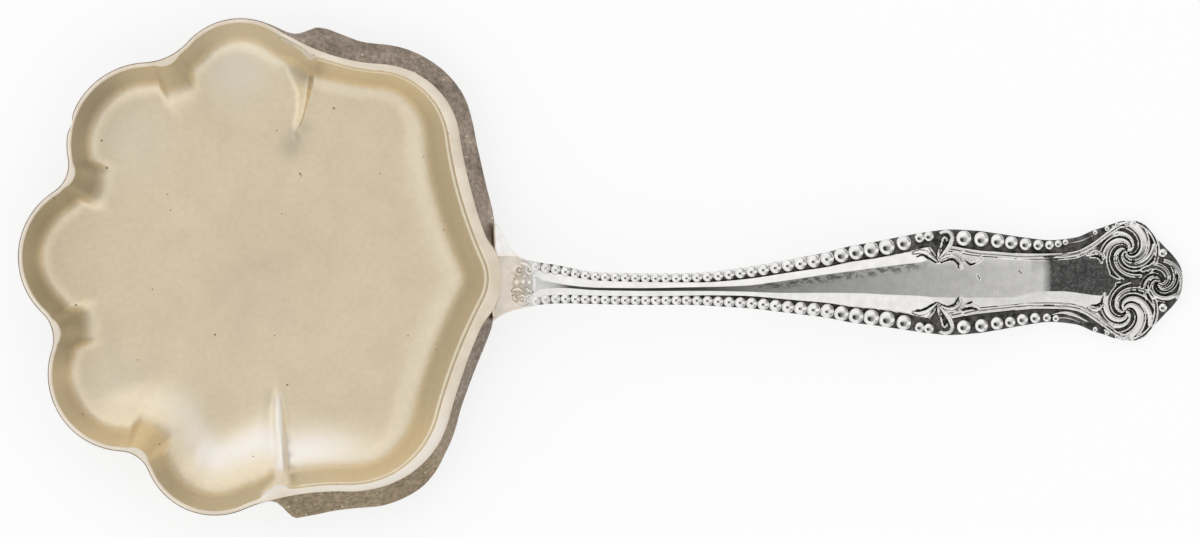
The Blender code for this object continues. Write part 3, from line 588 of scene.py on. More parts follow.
# %% Bowl
OUTER_WALL = ((-.25, 5.5), (.1, 4.0), (.45, 2.7), (.85, 1.6), (1.35, .75), (1.9, .28), (2.6, .05), (3.4, 0))
LIP = ((-.47, 6.86), (-.52, 6.84), (-.555, 6.78), (-.565, 6.7), (-.56, 6.62), (-.55, 6.56), (-.53, 6.5),
       (-.51, 6.46), (-.49, 6.42), (-.47, 6.38), (-.45, 6.35))
# Share of the way from land to skirt edge, step in from there, and height.
SKIRT = ((0, .04, 6.86), (0, -.02, 6.8), (.3, 0, 6.15), (.6, 0, 5.45), (.85, 0, 4.85), (1, 0, 4.5),
         (1, .06, 4.4), (1, .36, 4.4), (1, .44, 4.5), (.4, .3, 5.5), (0, .12, 6.35))
UNDER_LINING = 0.3
BACK_STRETCH = 0.26
UNDERSIDE_RINGS = (0.85, 0.55, 0.25, 0.0)


def edge_section():
    """Lip or skirt at each station, as distances in from the crest and heights for each row."""
    shares, steps, skirt_heights = np.array(SKIRT).T[..., None]
    lip_runs, lip_heights = np.array(LIP).T[..., None]
    skirted = ease(formed)
    skirt_runs = -land - shares * (edge - land) + steps
    runs = (lip_runs + nick) * (1 - skirted) + skirt_runs * skirted
    return runs, lip_heights * (1 - skirted) + skirt_heights * skirted


def bowl_surface():
    """Whole skin of the silver bowl as rows from its inside to the middle of its underside."""
    under = plain_inside[[0, 6, 10, *range(12, land_first, 2), len(inside) - 6]] - (0, 0, UNDER_LINING)
    runs, heights = edge_section()
    wall_runs, wall_heights = np.array(OUTER_WALL).T[..., None]
    runs = np.concatenate([runs, wall_runs * (1 + BACK_STRETCH * ease(formed))])
    heights = np.concatenate([heights, np.repeat(wall_heights, STATIONS, axis=1)])
    plan = rim[None] - outward[None] * runs[..., None]
    skin = np.concatenate([plan, heights[..., None]], axis=2)
    last = skin[-1]
    middle = np.array([*POLE, 0.0])
    rings = [middle + (last - middle) * inward for inward in UNDERSIDE_RINGS]
    return np.concatenate([under, skin, np.array(rings)])


silver_bowl = shaped_grid("silver_bowl", closed(bowl_surface())[:, ::2], None, 50.0)
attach(silver_bowl, "root")
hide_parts("bowl")

# %% [markdown]
# ## The line of the handle
# The handle leaves the bowl at a slight rise, goes over a low crown, falls along its
# panel and bends level just before the end scrolls. A handle could be a curve with a
# bevel, but its section changes all the way, so its height is a formula of three smooth
# stretches. Distances along it start at the back of the bowl.

# %% Handle: arch
HEEL = 26.76
HANDLE_LENGTH = 74.62
BEND = 59.2
BEND_LENGTH = 1.0
HEEL_RISE, PANEL_FALL, END_FALL = 0.13, -0.22, -0.035
HEEL_EASE = 0.6
TIP_TOP = 1.7


def join(length, start, start_slope, end, end_slope, at):
    """Smooth curve between two ends with given heights and slopes."""
    u = at / length
    first = start * (2 * u ** 3 - 3 * u ** 2 + 1) + start_slope * length * (u ** 3 - 2 * u ** 2 + u)
    return first + end * (3 * u ** 2 - 2 * u ** 3) + end_slope * length * (u ** 3 - u ** 2)


def arch(along):
    """Height of the top of the handle."""
    along = np.minimum(0.5 * (along + np.sqrt(along ** 2 + HEEL_EASE)), HANDLE_LENGTH)
    low = TIP_TOP - END_FALL * (HANDLE_LENGTH - BEND - BEND_LENGTH)
    high = low - (PANEL_FALL + END_FALL) / 2 * BEND_LENGTH
    crown = join(BEND, RIM_HEIGHT, HEEL_RISE, high, PANEL_FALL, along)
    bend = join(BEND_LENGTH, high, PANEL_FALL, low, END_FALL, along - BEND)
    level = low + END_FALL * (along - BEND - BEND_LENGTH)
    return np.where(along < BEND, crown, np.where(along < BEND + BEND_LENGTH, bend, level))


print("crown of the handle in mm:", round(float(arch(np.arange(0, 50, 0.5)).max()), 2))

# %% [markdown]
# ## The outline of the handle
# Seen from above the handle has a fishtail heel, a slim stem, a swelling panel, a waist
# and a broad end. Its middle line is bowed a little. The half-widths on the two sides were
# measured from that line and are the same from the stem on.

# %% Handle: outline and middle line
UPPER_OUTLINE = ((-0.9, 6.6), (0.1, 5.2), (0.65, 4.15), (1.3, 3.5), (2.0, 2.9), (3.16, 2.55), (4.36, 2.3),
                 (6.55, 2.05), (8.7, 1.85), (10.9, 1.75), (19.1, 1.72), (21.8, 1.8), (24.6, 2.05),
                 (27.3, 2.32), (30.0, 2.72), (32.8, 3.15), (35.5, 3.57), (38.2, 4.18), (41.0, 4.6),
                 (43.7, 5.07), (46.4, 5.5), (49.1, 5.78), (51.9, 5.62), (54.6, 5.24), (57.3, 4.8),
                 (60.06, 4.48), (62.8, 4.75), (64.9, 5.57), (66.0, 5.9), (67.05, 6.28), (68.2, 6.55),
                 (69.2, 6.55), (70.3, 6.3), (71.0, 5.5), (71.6, 4.8), (72.7, 3.6), (73.3, 3.0),
                 (73.8, 2.4), (74.2, 1.8), (74.5, 1.0), (HANDLE_LENGTH, 0.0))
LOWER_OUTLINE = ((-0.9, 4.1), (-0.3, 3.65), (0.65, 3.2), (2.0, 2.8)) + UPPER_OUTLINE[5:]
MIDDLE_LINE = ((-1.0, -1.67), (0, -1.67), (4.9, -1.72), (10.9, -2.2), (16.4, -2.3), (21.8, -2.27),
               (27.3, -2.1), (32.8, -1.93), (38.2, -1.77), (46.4, -1.58), (54.6, -1.5), (60.0, -1.42),
               (HANDLE_LENGTH, -1.37))


def middle_line(along):
    """Sideways place of the handle's middle line."""
    return curve_through(MIDDLE_LINE, along)


print("greatest half-width in mm:", max(width for _, width in UPPER_OUTLINE[1:]))

# %% [markdown]
# ## The relief of the handle
# A die strikes the whole top of the handle in one blow: a narrow roof that widens to a
# flat panel, ledges for the beads, leaves, thread lines and the whirling scrolls. Such
# relief is a height over each place, so it is kept as one table of heights on the grid,
# and ridges are raised in it along paths. Separate leaves and scrolls laid on a plate would
# be quicker to move about, but they would look stuck on. The columns of the grid follow the
# thread line beside the panel, so that the thread comes out clean.

# %% Handle: grid
TOP_COLUMNS = 161
FIRST_ROW, STEM_FROM, PANEL_FROM, TIP_FROM = -0.9, 4.0, 44.0, 73.4
HEEL_STEP, STEM_STEP, PANEL_STEP, TIP_ROWS = 0.08, 0.3, 0.09, 22
THREAD_SHARE = 0.6
THREAD = ((48.6, 3.78), (51.9, 3.2), (54.3, 2.98), (58.2, 2.72), (61.5, 2.76), (63.2, 3.05), (64.8, 3.9),
          (66.2, 4.95), (67.6, 5.95), (68.6, 6.2))


def row_places():
    """Distances along the handle of the grid's rows, close together where the relief is fine."""
    heel = np.arange(FIRST_ROW, STEM_FROM, HEEL_STEP)
    stem = np.arange(STEM_FROM, PANEL_FROM, STEM_STEP)
    end = np.arange(PANEL_FROM, TIP_FROM, PANEL_STEP)
    tip = TIP_FROM + (HANDLE_LENGTH - TIP_FROM) * np.sin(np.linspace(0, math.pi / 2, TIP_ROWS))
    return np.concatenate([heel, stem, end, tip])


along_rows = row_places()
spread = np.linspace(-1.0, 1.0, TOP_COLUMNS)
upper_width = curve_through(UPPER_OUTLINE, along_rows)
lower_width = curve_through(LOWER_OUTLINE, along_rows)
wide = np.where(spread[None] > 0, upper_width[:, None], lower_width[:, None])
along = np.repeat(along_rows[:, None], TOP_COLUMNS, axis=1)
follow = between(along, 46.0, 3.0, 64.0, 2.0)
inner = THREAD_SHARE * wide + (curve_through(THREAD, along) - THREAD_SHARE * wide) * follow
outer = inner + (np.abs(spread) - THREAD_SHARE) / (1 - THREAD_SHARE) * (wide - inner)
within = np.abs(spread) / THREAD_SHARE * inner
across = np.sign(spread) * np.where(np.abs(spread) < THREAD_SHARE, within, outer)
print("handle grid:", along.shape)

# %% [markdown]
# ### Roof, panel and ledges
# Before any ornament the top has a plain shape. The stem is a narrow roof with a flat
# ridge that opens into the panel, and along both edges lies a sunk ledge for the beads. The
# polished silver mirrors each of these planes in another grey, so their slopes decide how
# light or dark the handle looks. The heel runs out flat on the bowl.

# %% Handle: plain top with its roof, panel and ledges
BEAD_SIZE = ((3.8, 1.0), (20.0, 1.05), (30.0, 1.25), (43.6, 1.62), (50.5, 1.5), (54.3, 1.4), (57.3, 1.25),
             (60.0, 0.92), (62.6, 0.7))
FLAT_UP = ((3.0, 1.2), (4.5, 0.4), (8.0, 0.02), (11.0, 0.07), (16.4, 0.13), (21.8, 0.2), (26.2, 0.2),
           (30.6, 0.58), (34.9, 1.1), (39.3, 1.58), (42.6, 1.93), (45.9, 2.25), (48.0, 3.0))
FLAT_LOW = ((3.0, 1.2), (4.5, 0.6), (8.0, 0.3), (11.0, 0.25), (16.4, 0.21), (21.8, 0.24), (26.2, 0.44),
            (30.6, 0.73), (34.9, 0.86), (39.3, 1.03), (42.6, 1.29), (45.9, 1.47), (48.0, 1.6))
PANEL_LOW = ((44.0, 1.6), (56.0, 1.7), (59.0, 1.1), (61.0, 1.1), (66.0, 1.6))
LEDGE_FROM = ((44.0, 3.4), (46.5, 3.9), (48.5, 4.1), (51.9, 3.52), (54.3, 3.3), (58.2, 3.05), (61.5, 3.1),
              (63.2, 3.4), (64.8, 4.2), (66.2, 5.25), (67.0, 6.4))
LEDGE_DEEP = ((3.0, 0.5), (8.0, 0.75), (45.0, 0.85), (58.0, 0.8), (63.0, 0.6))
LEDGE_SIDE, LEAST_LEDGE = 0.12, 0.25
# Widths of the ledges on the stem as shares of a bead: at the neck, and what is added further out.
LEDGE_SHARE, LEDGE_GROWTH = 0.88, 0.22
ROOF_SLOPE, PANEL_CURVE, PANEL_BEVEL, WING_SLOPE = 0.4, 0.06, 0.15, 0.45
WING_FROM = 3.0
PAST_EDGE = 4.0
at_heel = 1 - ease((along - 2.2) / 2.6)


def plain_top():
    """Heights of the top without relief."""
    flat = np.where(across > 0, curve_through(FLAT_UP, along), curve_through(FLAT_LOW, along))
    roof = -ROOF_SLOPE * np.clip(np.abs(across) - flat, 0, None)
    panel = ease((along - 44.5) / 4.0)
    crowned = -PANEL_CURVE * np.clip(across - np.interp(along, (58, 61), (1.0, 2.0)), 0, None) ** 1.5
    crowned -= PANEL_BEVEL * np.clip(-across - curve_through(PANEL_LOW, along), 0, None)
    wing = -WING_SLOPE * np.clip(across - WING_FROM, 0, None)
    return roof * (1 - panel) * (1 - at_heel) + crowned * panel + wing * at_heel


def ledge_start():
    """Half-width inside the ledges: up to the beads on the stem, up to the thread on the panel."""
    share = LEDGE_SHARE + LEDGE_GROWTH * ease((along - 18.0) / 8.0)
    stem = wide - share * curve_through(BEAD_SIZE, along)
    start = np.where(along < PANEL_FROM, stem, curve_through(LEDGE_FROM, along))
    return start + PAST_EDGE * at_heel


top = plain_top()
ledge_deep = curve_through(LEDGE_DEEP, along)
ledge = ease((np.abs(across) - ledge_start()) / LEDGE_SIDE + 0.5) * (1 - ease((along - 65.0) / 1.5))
height = top - ledge * np.clip(ledge_deep + top, LEAST_LEDGE, None)
print("share of the top in the ledges:", round(float(ledge.mean()), 2))

# %% [markdown]
# ### Ridges
# A ridge follows a path of (along, across) points with a width at each of them. Its
# section is round, and where ridges cross the higher one wins, as in a cut die. A groove is
# the same thing downwards.

# %% Handle: ridges and grooves
LEAN = 0.3


def near_path(path, widths):
    """For each stretch of a path: the grid rows it reaches, and how far off it each place is."""
    path = np.array(path, dtype=float)
    for start, end, first, last in zip(path, path[1:], widths, widths[1:]):
        reach = max(first, last)
        low = np.searchsorted(along_rows, min(start[0], end[0]) - reach)
        high = np.searchsorted(along_rows, max(start[0], end[0]) + reach)
        u, v = along[low:high] - start[0], across[low:high] - start[1]
        way = end - start
        t = np.clip((u * way[0] + v * way[1]) / max(way @ way, 1e-9), 0, 1)
        aside = v - t * way[1]
        yield slice(low, high), np.hypot(u - t * way[0], aside) / (first + (last - first) * t), aside


def raise_ridge(path, widths, crown, foot=-0.5):
    """Raise a round ridge along a path; crown and foot are heights over the plain top."""
    for rows, gap, aside in near_path(path, widths):
        raised = top[rows] + foot + (crown - foot) * np.sqrt(np.clip(1 - gap ** 2, 0, 1)) - LEAN * aside
        height[rows] = np.where(gap < 1, np.maximum(height[rows], raised), height[rows])


def cut_groove(path, widths, deep):
    """Cut a round groove along a path, to a depth under the plain top."""
    for rows, gap, _ in near_path(path, widths):
        cut = top[rows] - deep * np.sqrt(np.clip(1 - gap ** 2, 0, 1))
        height[rows] = np.where(gap < 1, np.minimum(height[rows], cut), height[rows])


print("ridges lean by", LEAN, "mm in each mm across")

# %% [markdown]
# ### Paths for ornament
# A leaf or a thread is drawn with a few points, as with a pencil, and a smooth line goes
# through them. Most ornament stands on both sides of the middle line, and each ridge has a
# narrow ditch beside it that catches the dark, as a graver leaves it.

# %% Handle: paths
DITCH_DEEP = 0.28


def smooth_path(points, count=40):
    """Fine path through a few points, evenly walked."""
    points = np.array(points, dtype=float)
    steps = np.concatenate([[0.0], np.cumsum(np.hypot(*np.diff(points, axis=0).T))])
    at = np.linspace(0.0, steps[-1], count)
    padded = np.vstack([2 * points[0] - points[1], points, 2 * points[-1] - points[-2]])
    i = np.clip(np.searchsorted(steps, at, side="right") - 1, 0, len(points) - 2)
    t = ((at - steps[i]) / (steps[i + 1] - steps[i]))[:, None]
    before, here, there, after = (padded[i + k] for k in range(4))
    return here + 0.5 * t * (there - before + t * (2 * before - 5 * here + 4 * there - after
                                                   + t * (3 * (here - there) + after - before)))


def taper(count, start, middle, end):
    """Widths along a ridge that swell in the middle."""
    share = np.linspace(0.0, 1.0, count)
    return np.interp(share, [0.0, 0.5, 1.0], [start, middle, end])


def strike(path, widths, crown, foot=-0.2, ditch=0.1):
    """Raise a ridge with a narrow ditch along both its sides."""
    cut_groove(path, np.asarray(widths) + ditch, DITCH_DEEP)
    raise_ridge(path, widths, crown, foot)


def both_sides(path, widths, crown, foot=-0.2, ditch=0.1):
    """Strike the same ridge on both sides of the middle line."""
    strike(path, widths, crown, foot, ditch)
    strike(np.array(path) * (1, -1), widths, crown, foot, ditch)


print("a path of three points gets", len(smooth_path(((0, 0), (1, 1), (2, 0)))), "points")

# %% [markdown]
# ### The end scrolls
# Three whirling scrolls fill the end, two large ones side by side and a small one at the
# tip. In each of them broad and fine arms wind into the middle. They are struck from
# spirals in a loop, with unequal widths, because the arms of a hand-cut die differ. The
# ground between them lies lower.

# %% Handle: scrolls at the end
# Along, across, radius, way of turning, number of arms and angle of the first arm.
WHORLS = ((68.45, 3.23, 3.1, 1, 5, 0.2), (68.3, -3.27, 3.1, -1, 5, 0.5), (72.0, -0.2, 2.25, 1, 4, 0.9))
WHORL_SIZE = 3.1
ARM_WIDTHS = (1.0, 1.45, 0.8, 1.15, 0.75)
ARM_POINTS = 48
BROAD_ARM, FINE_ARM = (0.34, 0.3, 0.11), (0.14, 0.13, 0.07)
FINE_LAG = 0.62
OUTER_ARCS, OUTER_POINTS = (1.03, 1.14), 60
PANEL_END = ((60, 3.6), (64.6, 3.5), (65.2, 3.0), (65.5, 2.3), (66.0, 1.35), (67.0, 0.45), (67.6, 0.2))
PLATE_DEEP = 0.5


def sink_plate():
    """Lower the ground round the scrolls and leave the panel between them."""
    panel = (1 - ease((np.abs(across) - curve_through(PANEL_END, along)) / 0.2)) * (along < 67.8)
    plate = ease((along - 64.0) / 2.5)
    np.minimum(height, top - PLATE_DEEP * plate * (1 - panel), out=height)


def spiral(middle, aside, radius, hand, start, winding, inner):
    """Path from the rim of a scroll that winds in to its middle."""
    share = np.linspace(0.0, 1.0, ARM_POINTS)
    angle = hand * (start - share * winding)
    reach = radius * (1.0 - (1.0 - inner) * share ** 0.9)
    return np.stack([middle + reach * np.cos(angle), aside + reach * np.sin(angle)], axis=1)


def whorl(middle, aside, radius, hand, arms, start):
    """Strike broad and fine arms that wind into the middle of a scroll, with an arc outside them."""
    size = radius / WHORL_SIZE
    for arm in range(arms):
        angle = start + 2 * math.pi * arm / arms
        winding = math.pi * (1.0 + 0.12 * math.sin(2.4 * arm))
        broad = spiral(middle, aside, radius, hand, angle, winding, 0.05)
        raise_ridge(broad, taper(ARM_POINTS, *BROAD_ARM) * size * ARM_WIDTHS[arm], 0.2)
        fine = spiral(middle, aside, radius, hand, angle - FINE_LAG, winding, 0.12)
        raise_ridge(fine, taper(ARM_POINTS, *FINE_ARM) * size, 0.06)
    turn = np.linspace(-0.75, 1.35, OUTER_POINTS) * hand
    for reach in OUTER_ARCS:
        u, v = reach * radius * np.cos(turn), reach * radius * np.sin(turn)
        raise_ridge(np.stack([middle + u, aside + v], axis=1), np.full(OUTER_POINTS, 0.15), 0.05)


sink_plate()
for place in WHORLS:
    whorl(*place)
print("scroll arms:", sum(place[4] for place in WHORLS))

# %% [markdown]
# ### Thread lines
# A pair of fine threads runs along each side of the panel, from the leaf to the scrolls.
# Two threads side by side catch two lines of light, where one broad ridge would catch one.
# The panel also has a few short scratches, which are cut first.

# %% Handle: thread lines
SCRATCHES = (((52.1, 0.8), (52.35, 0.3)), ((56.6, 1.2), (57.0, 0.85)), ((54.1, -0.95), (54.16, -0.95)),
             ((4.43, -0.15), (4.47, -0.15)))
SCRATCH_WIDTH = 0.055
THREAD_POINTS = 90

thread = smooth_path(THREAD, THREAD_POINTS)
for scratch in SCRATCHES:
    cut_groove(scratch, (SCRATCH_WIDTH, SCRATCH_WIDTH), 0.2)
both_sides(thread + (0, 0.18), np.full(THREAD_POINTS, 0.14), 0.1, -0.1, 0.06)
both_sides(thread - (0, 0.2), np.full(THREAD_POINTS, 0.11), 0.07, -0.1, 0.06)
print("thread from", THREAD[0][0], "to", THREAD[-1][0], "mm along")

# %% [markdown]
# ### Leaves
# A spray of curled leaves breaks each bead border where the panel is widest, and a small
# leaf lies beside each scroll. Every leaf is a ridge that swells and thins out again, and
# the dark lines between the leaves are grooves. The bed of the spray is hollowed first.

# %% Handle: leaves
LEAVES = ((((47.7, 2.25), (47.0, 2.8), (46.0, 3.35), (45.1, 3.25)), (0.08, 0.26, 0.12)),
          (((47.6, 2.7), (47.2, 3.35), (46.8, 3.9)), (0.06, 0.12, 0.06)),
          (((47.75, 2.5), (47.85, 3.3), (48.0, 4.1)), (0.1, 0.17, 0.08)),
          (((48.05, 3.3), (48.2, 4.5), (48.46, 4.9), (48.75, 4.65), (48.6, 4.25)), (0.08, 0.14, 0.11)),
          (((47.85, 2.55), (48.4, 3.2), (48.95, 3.9), (49.3, 4.75), (49.1, 5.35), (48.6, 5.55), (48.05, 5.4)),
           (0.1, 0.27, 0.16)),
          (((47.85, 2.35), (48.6, 2.8), (49.45, 2.85), (50.12, 2.4), (50.2, 1.65)), (0.08, 0.19, 0.13)),
          (((64.25, 2.95), (64.9, 3.2), (65.5, 3.05), (65.85, 2.6)), (0.08, 0.21, 0.08)))
COMMAS = (((50.25, 2.5), (51.3, 2.15), (52.2, 2.35), (52.45, 2.8)),
          ((49.7, -3.1), (51.05, -2.5), (51.8, -2.6), (52.35, -3.0)))
DARK_LINES = (((45.4, 2.78), (46.05, 3.02), (46.8, 2.6), (47.5, 2.15)),
              ((48.05, 2.15), (49.25, 2.5), (49.85, 2.1), (50.0, 1.55)),
              ((50.85, 2.3), (51.3, 1.93), (51.8, 2.05)), ((45.3, -3.0), (46.2, -2.95), (47.5, -2.2)),
              ((48.05, -2.4), (48.85, -2.65), (49.55, -2.4), (49.95, -1.7)),
              ((50.4, -3.0), (51.2, -2.85), (52.0, -3.0)), ((50.9, -2.4), (51.5, -2.15)),
              ((48.1, 3.6), (48.5, 4.2), (48.9, 4.5)), ((48.1, -3.6), (48.5, -4.2), (48.9, -4.5)),
              ((64.5, 2.65), (65.2, 2.68), (65.8, 2.2)), ((64.5, -2.65), (65.2, -2.68), (65.8, -2.2)))
LEAF_BED = ((47.68, 2.8), (47.65, 3.5), (47.9, 4.3))
LEAF_BED_WIDTHS = (0.3, 0.75, 1.1)
LEAF_POINTS, LINE_POINTS = 40, 24

for side in (1, -1):
    cut_groove(np.array(LEAF_BED) * (1, side), LEAF_BED_WIDTHS, 0.45)
for leaf, widths in LEAVES:
    both_sides(smooth_path(leaf), taper(LEAF_POINTS, *widths), 0.3, -0.3, 0.07)
for leaf in COMMAS:
    strike(smooth_path(leaf), taper(LEAF_POINTS, 0.05, 0.16, 0.13), 0.3, -0.2, 0.05)
for line in DARK_LINES:
    cut_groove(smooth_path(line, LINE_POINTS), taper(LINE_POINTS, 0.04, 0.13, 0.05), 0.45)
print("leaves on both sides:", len(LEAVES), "and dark lines:", len(DARK_LINES))

# %% [markdown]
# ### Florets on the heel
# A small worn patch of florets decorates the heel, curls and dots on a shallow sunk ground.
# The relief is low and soft, as wear leaves it. The step that sinks the ground also wears
# every ridge struck so far down to the plain top.

# %% Handle: florets on the heel
# Along, across and size, and for a floret the angle at which its curl starts.
FLORETS = ((2.0, 1.45, 0.45, 0.6), (3.15, 1.5, 0.4, 2.4), (2.3, -1.7, 0.4, 4.2), (3.15, -1.55, 0.3, 1.0))
FLORET_DOTS = ((2.0, 1.45, 0.2), (3.15, 1.5, 0.18), (1.75, 0.15, 0.36), (2.45, 0.2, 0.33), (3.1, 0.15, 0.3),
               (2.3, -1.7, 0.18), (2.6, 0.85, 0.2), (1.4, 0.8, 0.2), (3.55, 0.75, 0.2))
FLORET_LEAVES = (((1.1, -0.85), (1.85, -0.6), (2.5, -0.95)), ((2.7, -0.5), (3.4, -0.95)),
                 ((1.3, -1.35), (1.7, -1.9)))
CURL_POINTS, FLORET_LEAF_POINTS = 30, 20
GROUND_DEEP = 0.13

ground = 1 - ease((np.hypot((along - 2.4) / 1.25, across / 2.3) - 0.8) / 0.25)
np.minimum(height, top - GROUND_DEEP * ground, out=height)
for floret_along, floret_across, size, start in FLORETS:
    curl = np.linspace(0.0, 4.6, CURL_POINTS) + start
    path = np.stack([floret_along + size * np.cos(curl), floret_across + size * np.sin(curl)], axis=1)
    raise_ridge(path, taper(CURL_POINTS, 0.12, 0.2, 0.12), 0.1, -0.16)
for floret_along, floret_across, size in FLORET_DOTS:
    dot = ((floret_along, floret_across), (floret_along + 0.01, floret_across))
    raise_ridge(dot, (size, size), 0.08, -0.16)
leaf_widths = taper(FLORET_LEAF_POINTS, 0.1, 0.24, 0.1)
for leaf in FLORET_LEAVES:
    strike(smooth_path(leaf, FLORET_LEAF_POINTS), leaf_widths, 0.12, -0.16, 0.05)
print("florets:", len(FLORETS), "dots:", len(FLORET_DOTS))

# %% [markdown]
# ### The leaf at the waist
# Past the last large beads a slim leaf lies on the lower ledge, and a fine line follows
# the edge on both sides. They are struck last, because their crests may stand a trace above
# the plain top.

# %% Handle: leaf at the waist
LOWER_LEAF = ((60.3, -3.65), (61.6, -3.45), (62.8, -3.75), (64.1, -4.4))
LEDGE_LINES = (((60.4, -4.0), (62.0, -4.06), (63.3, -4.5)), ((62.0, 4.1), (63.5, 4.4), (64.8, 4.95)))

strike(smooth_path(LOWER_LEAF), taper(LEAF_POINTS, 0.1, 0.34, 0.14), 0.0, -0.6)
for line in LEDGE_LINES:
    raise_ridge(smooth_path(line, LINE_POINTS), taper(LINE_POINTS, 0.08, 0.14, 0.06), -0.1)
print("highest relief over the plain top in mm:", round(float((height - top).max()), 3))

# %% [markdown]
# ### Dark recesses
# Silver blackens where no cloth reaches it, and polish keeps the heights bright. How deep
# a place lies under the plain top is stored as a mark, and the finish darkens it. Blender
# could find hollows by itself, but only roughly and anew in each render. The upper edge of
# the stem is rubbed bright again.

# %% Handle: recesses
RECESS_FROM, RECESS_RANGE = 0.05, 0.2

recess = np.clip((top - height - RECESS_FROM) / RECESS_RANGE, 0, 1)
rubbed = between(along, 7.0, 2.0, 30.0, 8.0) * (1 - ease((wide - across - 0.15) / 0.3))
recess *= 1 - rubbed
print("share of the top in recesses:", round(float((recess > 0.5).mean()), 2))

# %% [markdown]
# ### Closing the handle
# The top gets rounded edges, upright sides and a flat back, and its heel follows the
# back of the bowl, where it is soldered on. Extruding the top downwards would leave its
# edges sharp, so every row of the grid is closed to a whole section instead.

# %% Handle: sections
THICKNESS = ((0.0, 2.3), (49.2, 2.3), (72.4, 1.7))
ROUND = 0.18
# Share of the half-width and height over the back, round the lower edges.
UNDER_EDGE = ((1.0, 0.3), (0.985, 0.1), (0.94, 0.0))
BACK_STEPS = (0.15, 0.32, 0.5, 0.68, 0.85)
SIDE_MIX = 0.6


def heel_line(y):
    """Edge of the bowl's back, as a place along X for a sideways place."""
    near = np.where((np.abs(rim[:, 1]) < 12) & (rim[:, 0] > 0))[0]
    line = rim[near] + outward[near] * edge[near][:, None]
    order = np.argsort(line[:, 1])
    return np.interp(y, line[order, 1], line[order, 0])


def around(row):
    """One closed section of the handle as (across, height) pairs."""
    from_edge = wide[row] - np.abs(across[row])
    drop = ROUND - np.sqrt(np.clip(ROUND ** 2 - np.clip(ROUND - from_edge, 0, None) ** 2, 0, None))
    section = list(zip(across[row], height[row] - drop * (from_edge < ROUND)))
    low = -float(curve_through(THICKNESS, along_rows[row]))
    right, left = upper_width[row], lower_width[row]
    flat = UNDER_EDGE[-1][0]
    first, last = (SIDE_MIX * section[end][1] + (1 - SIDE_MIX) * low for end in (0, -1))
    section += [(right, last)] + [(right * share, low + rise) for share, rise in UNDER_EDGE]
    section += [(right * flat - (left + right) * flat * step, low) for step in BACK_STEPS]
    section += [(-left * share, low + rise) for share, rise in reversed(UNDER_EDGE)] + [(-left, first)]
    return np.array(section)


print("points in one section:", len(around(0)))

# %% [markdown]
# ### The finished handle
# The sections are set one behind the other along the arch. Near the heel their rows bend
# to follow the back of the bowl. A last ring drawn together to a point closes the tip.

# %% Handle: finished piece
HEEL_BLEND = 1.3
HEEL_GAP = 0.04
BACK_RECESS = 0.4


def handle_surface():
    """Skin of the handle as rows of closed sections, and the recess mark of each point."""
    rows, marks = [], []
    for row, place in enumerate(along_rows):
        section = around(row)
        x = HEEL + np.full(len(section), place)
        y = middle_line(place) + section[:, 0]
        if place < HEEL_BLEND:
            start = heel_line(y) + HEEL_GAP
            x = start + (HEEL + HEEL_BLEND - start) * (place - FIRST_ROW) / (HEEL_BLEND - FIRST_ROW)
        z = arch(x - HEEL) + section[:, 1]
        rows.append(np.stack([x, y, z], axis=1))
        marks.append(np.concatenate([recess[row], np.full(len(section) - TOP_COLUMNS, BACK_RECESS)]))
    rows.insert(0, np.column_stack([rows[0][:, :2], np.full(len(rows[0]), rows[0][:, 2].min())]))
    marks.insert(0, marks[0])
    end = np.mean(rows[-1], axis=0)
    rows.append(np.repeat(end[None], len(rows[-1]), axis=0))
    marks.append(marks[-1])
    return closed(np.array(rows)), closed(np.array(marks))


skin, skin_recess = handle_surface()
handle_body = shaped_grid("handle_body", skin, {"recess": skin_recess}, 70.0)
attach(handle_body, "root")
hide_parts("handle")

# %% [markdown]
# ## The beads
# Two rows of beads run along the ledges. They grow from the neck to the leaf, and past
# it they shrink towards the scrolls. A struck bead has a rather flat crown and steep
# sides, which a sphere lacks, so a bead is turned from its own section. On the real handle
# the beads are one metal with it. Here they are a mesh of their own, because round beads
# would need a far finer grid than the rest of the top.

# %% Beads: sizes and places
BEAD_FOOT = ((0.5, -0.8), (0.85, -0.45), (1.0, 0.0))
ROUND_BEAD = BEAD_FOOT + ((1.0, 0.45), (0.96, 0.54), (0.9, 0.63), (0.82, 0.72), (0.72, 0.8), (0.62, 0.86),
                          (0.5, 0.91), (0.35, 0.957), (0.2, 0.986), (0.0, 1.0))
FLAT_BEAD = BEAD_FOOT + ((1.0, 0.6), (0.96, 0.705), (0.9, 0.772), (0.82, 0.838), (0.72, 0.894),
                         (0.62, 0.931), (0.5, 0.959), (0.35, 0.981), (0.2, 0.994), (0.0, 1.0))
# Distance along the handle and diameter.
UPPER_END = ((44.0, 1.5), (45.75, 1.0), (46.75, 1.0), (50.57, 1.55), (52.48, 1.5), (54.26, 1.4),
             (55.76, 1.32), (57.33, 1.23), (58.75, 1.05), (59.99, 0.92), (60.95, 0.75), (61.75, 0.6),
             (65.0, 0.5), (66.3, 0.5), (67.4, 0.45), (68.4, 0.45), (69.3, 0.4))
LOWER_END = ((44.0, 1.5), (45.75, 1.0), (46.75, 1.0), (50.56, 1.4), (52.5, 1.35), (54.2, 1.3), (55.65, 1.1),
             (57.0, 1.15), (58.4, 1.05), (59.7, 0.85), (60.7, 0.7), (65.0, 0.5), (66.3, 0.5), (67.4, 0.45),
             (68.4, 0.4))
FIRST_BEAD, LAST_STEM_BEAD = BEAD_SIZE[0][0], 42.4
BEAD_PITCH = 1.08


def bead_places(end):
    """Distance along and diameter of every bead of one border."""
    places = []
    place = FIRST_BEAD
    while place < LAST_STEM_BEAD:
        size = float(curve_through(BEAD_SIZE, np.array(place)))
        places.append((place, size))
        place += BEAD_PITCH * size
    return places + list(end)


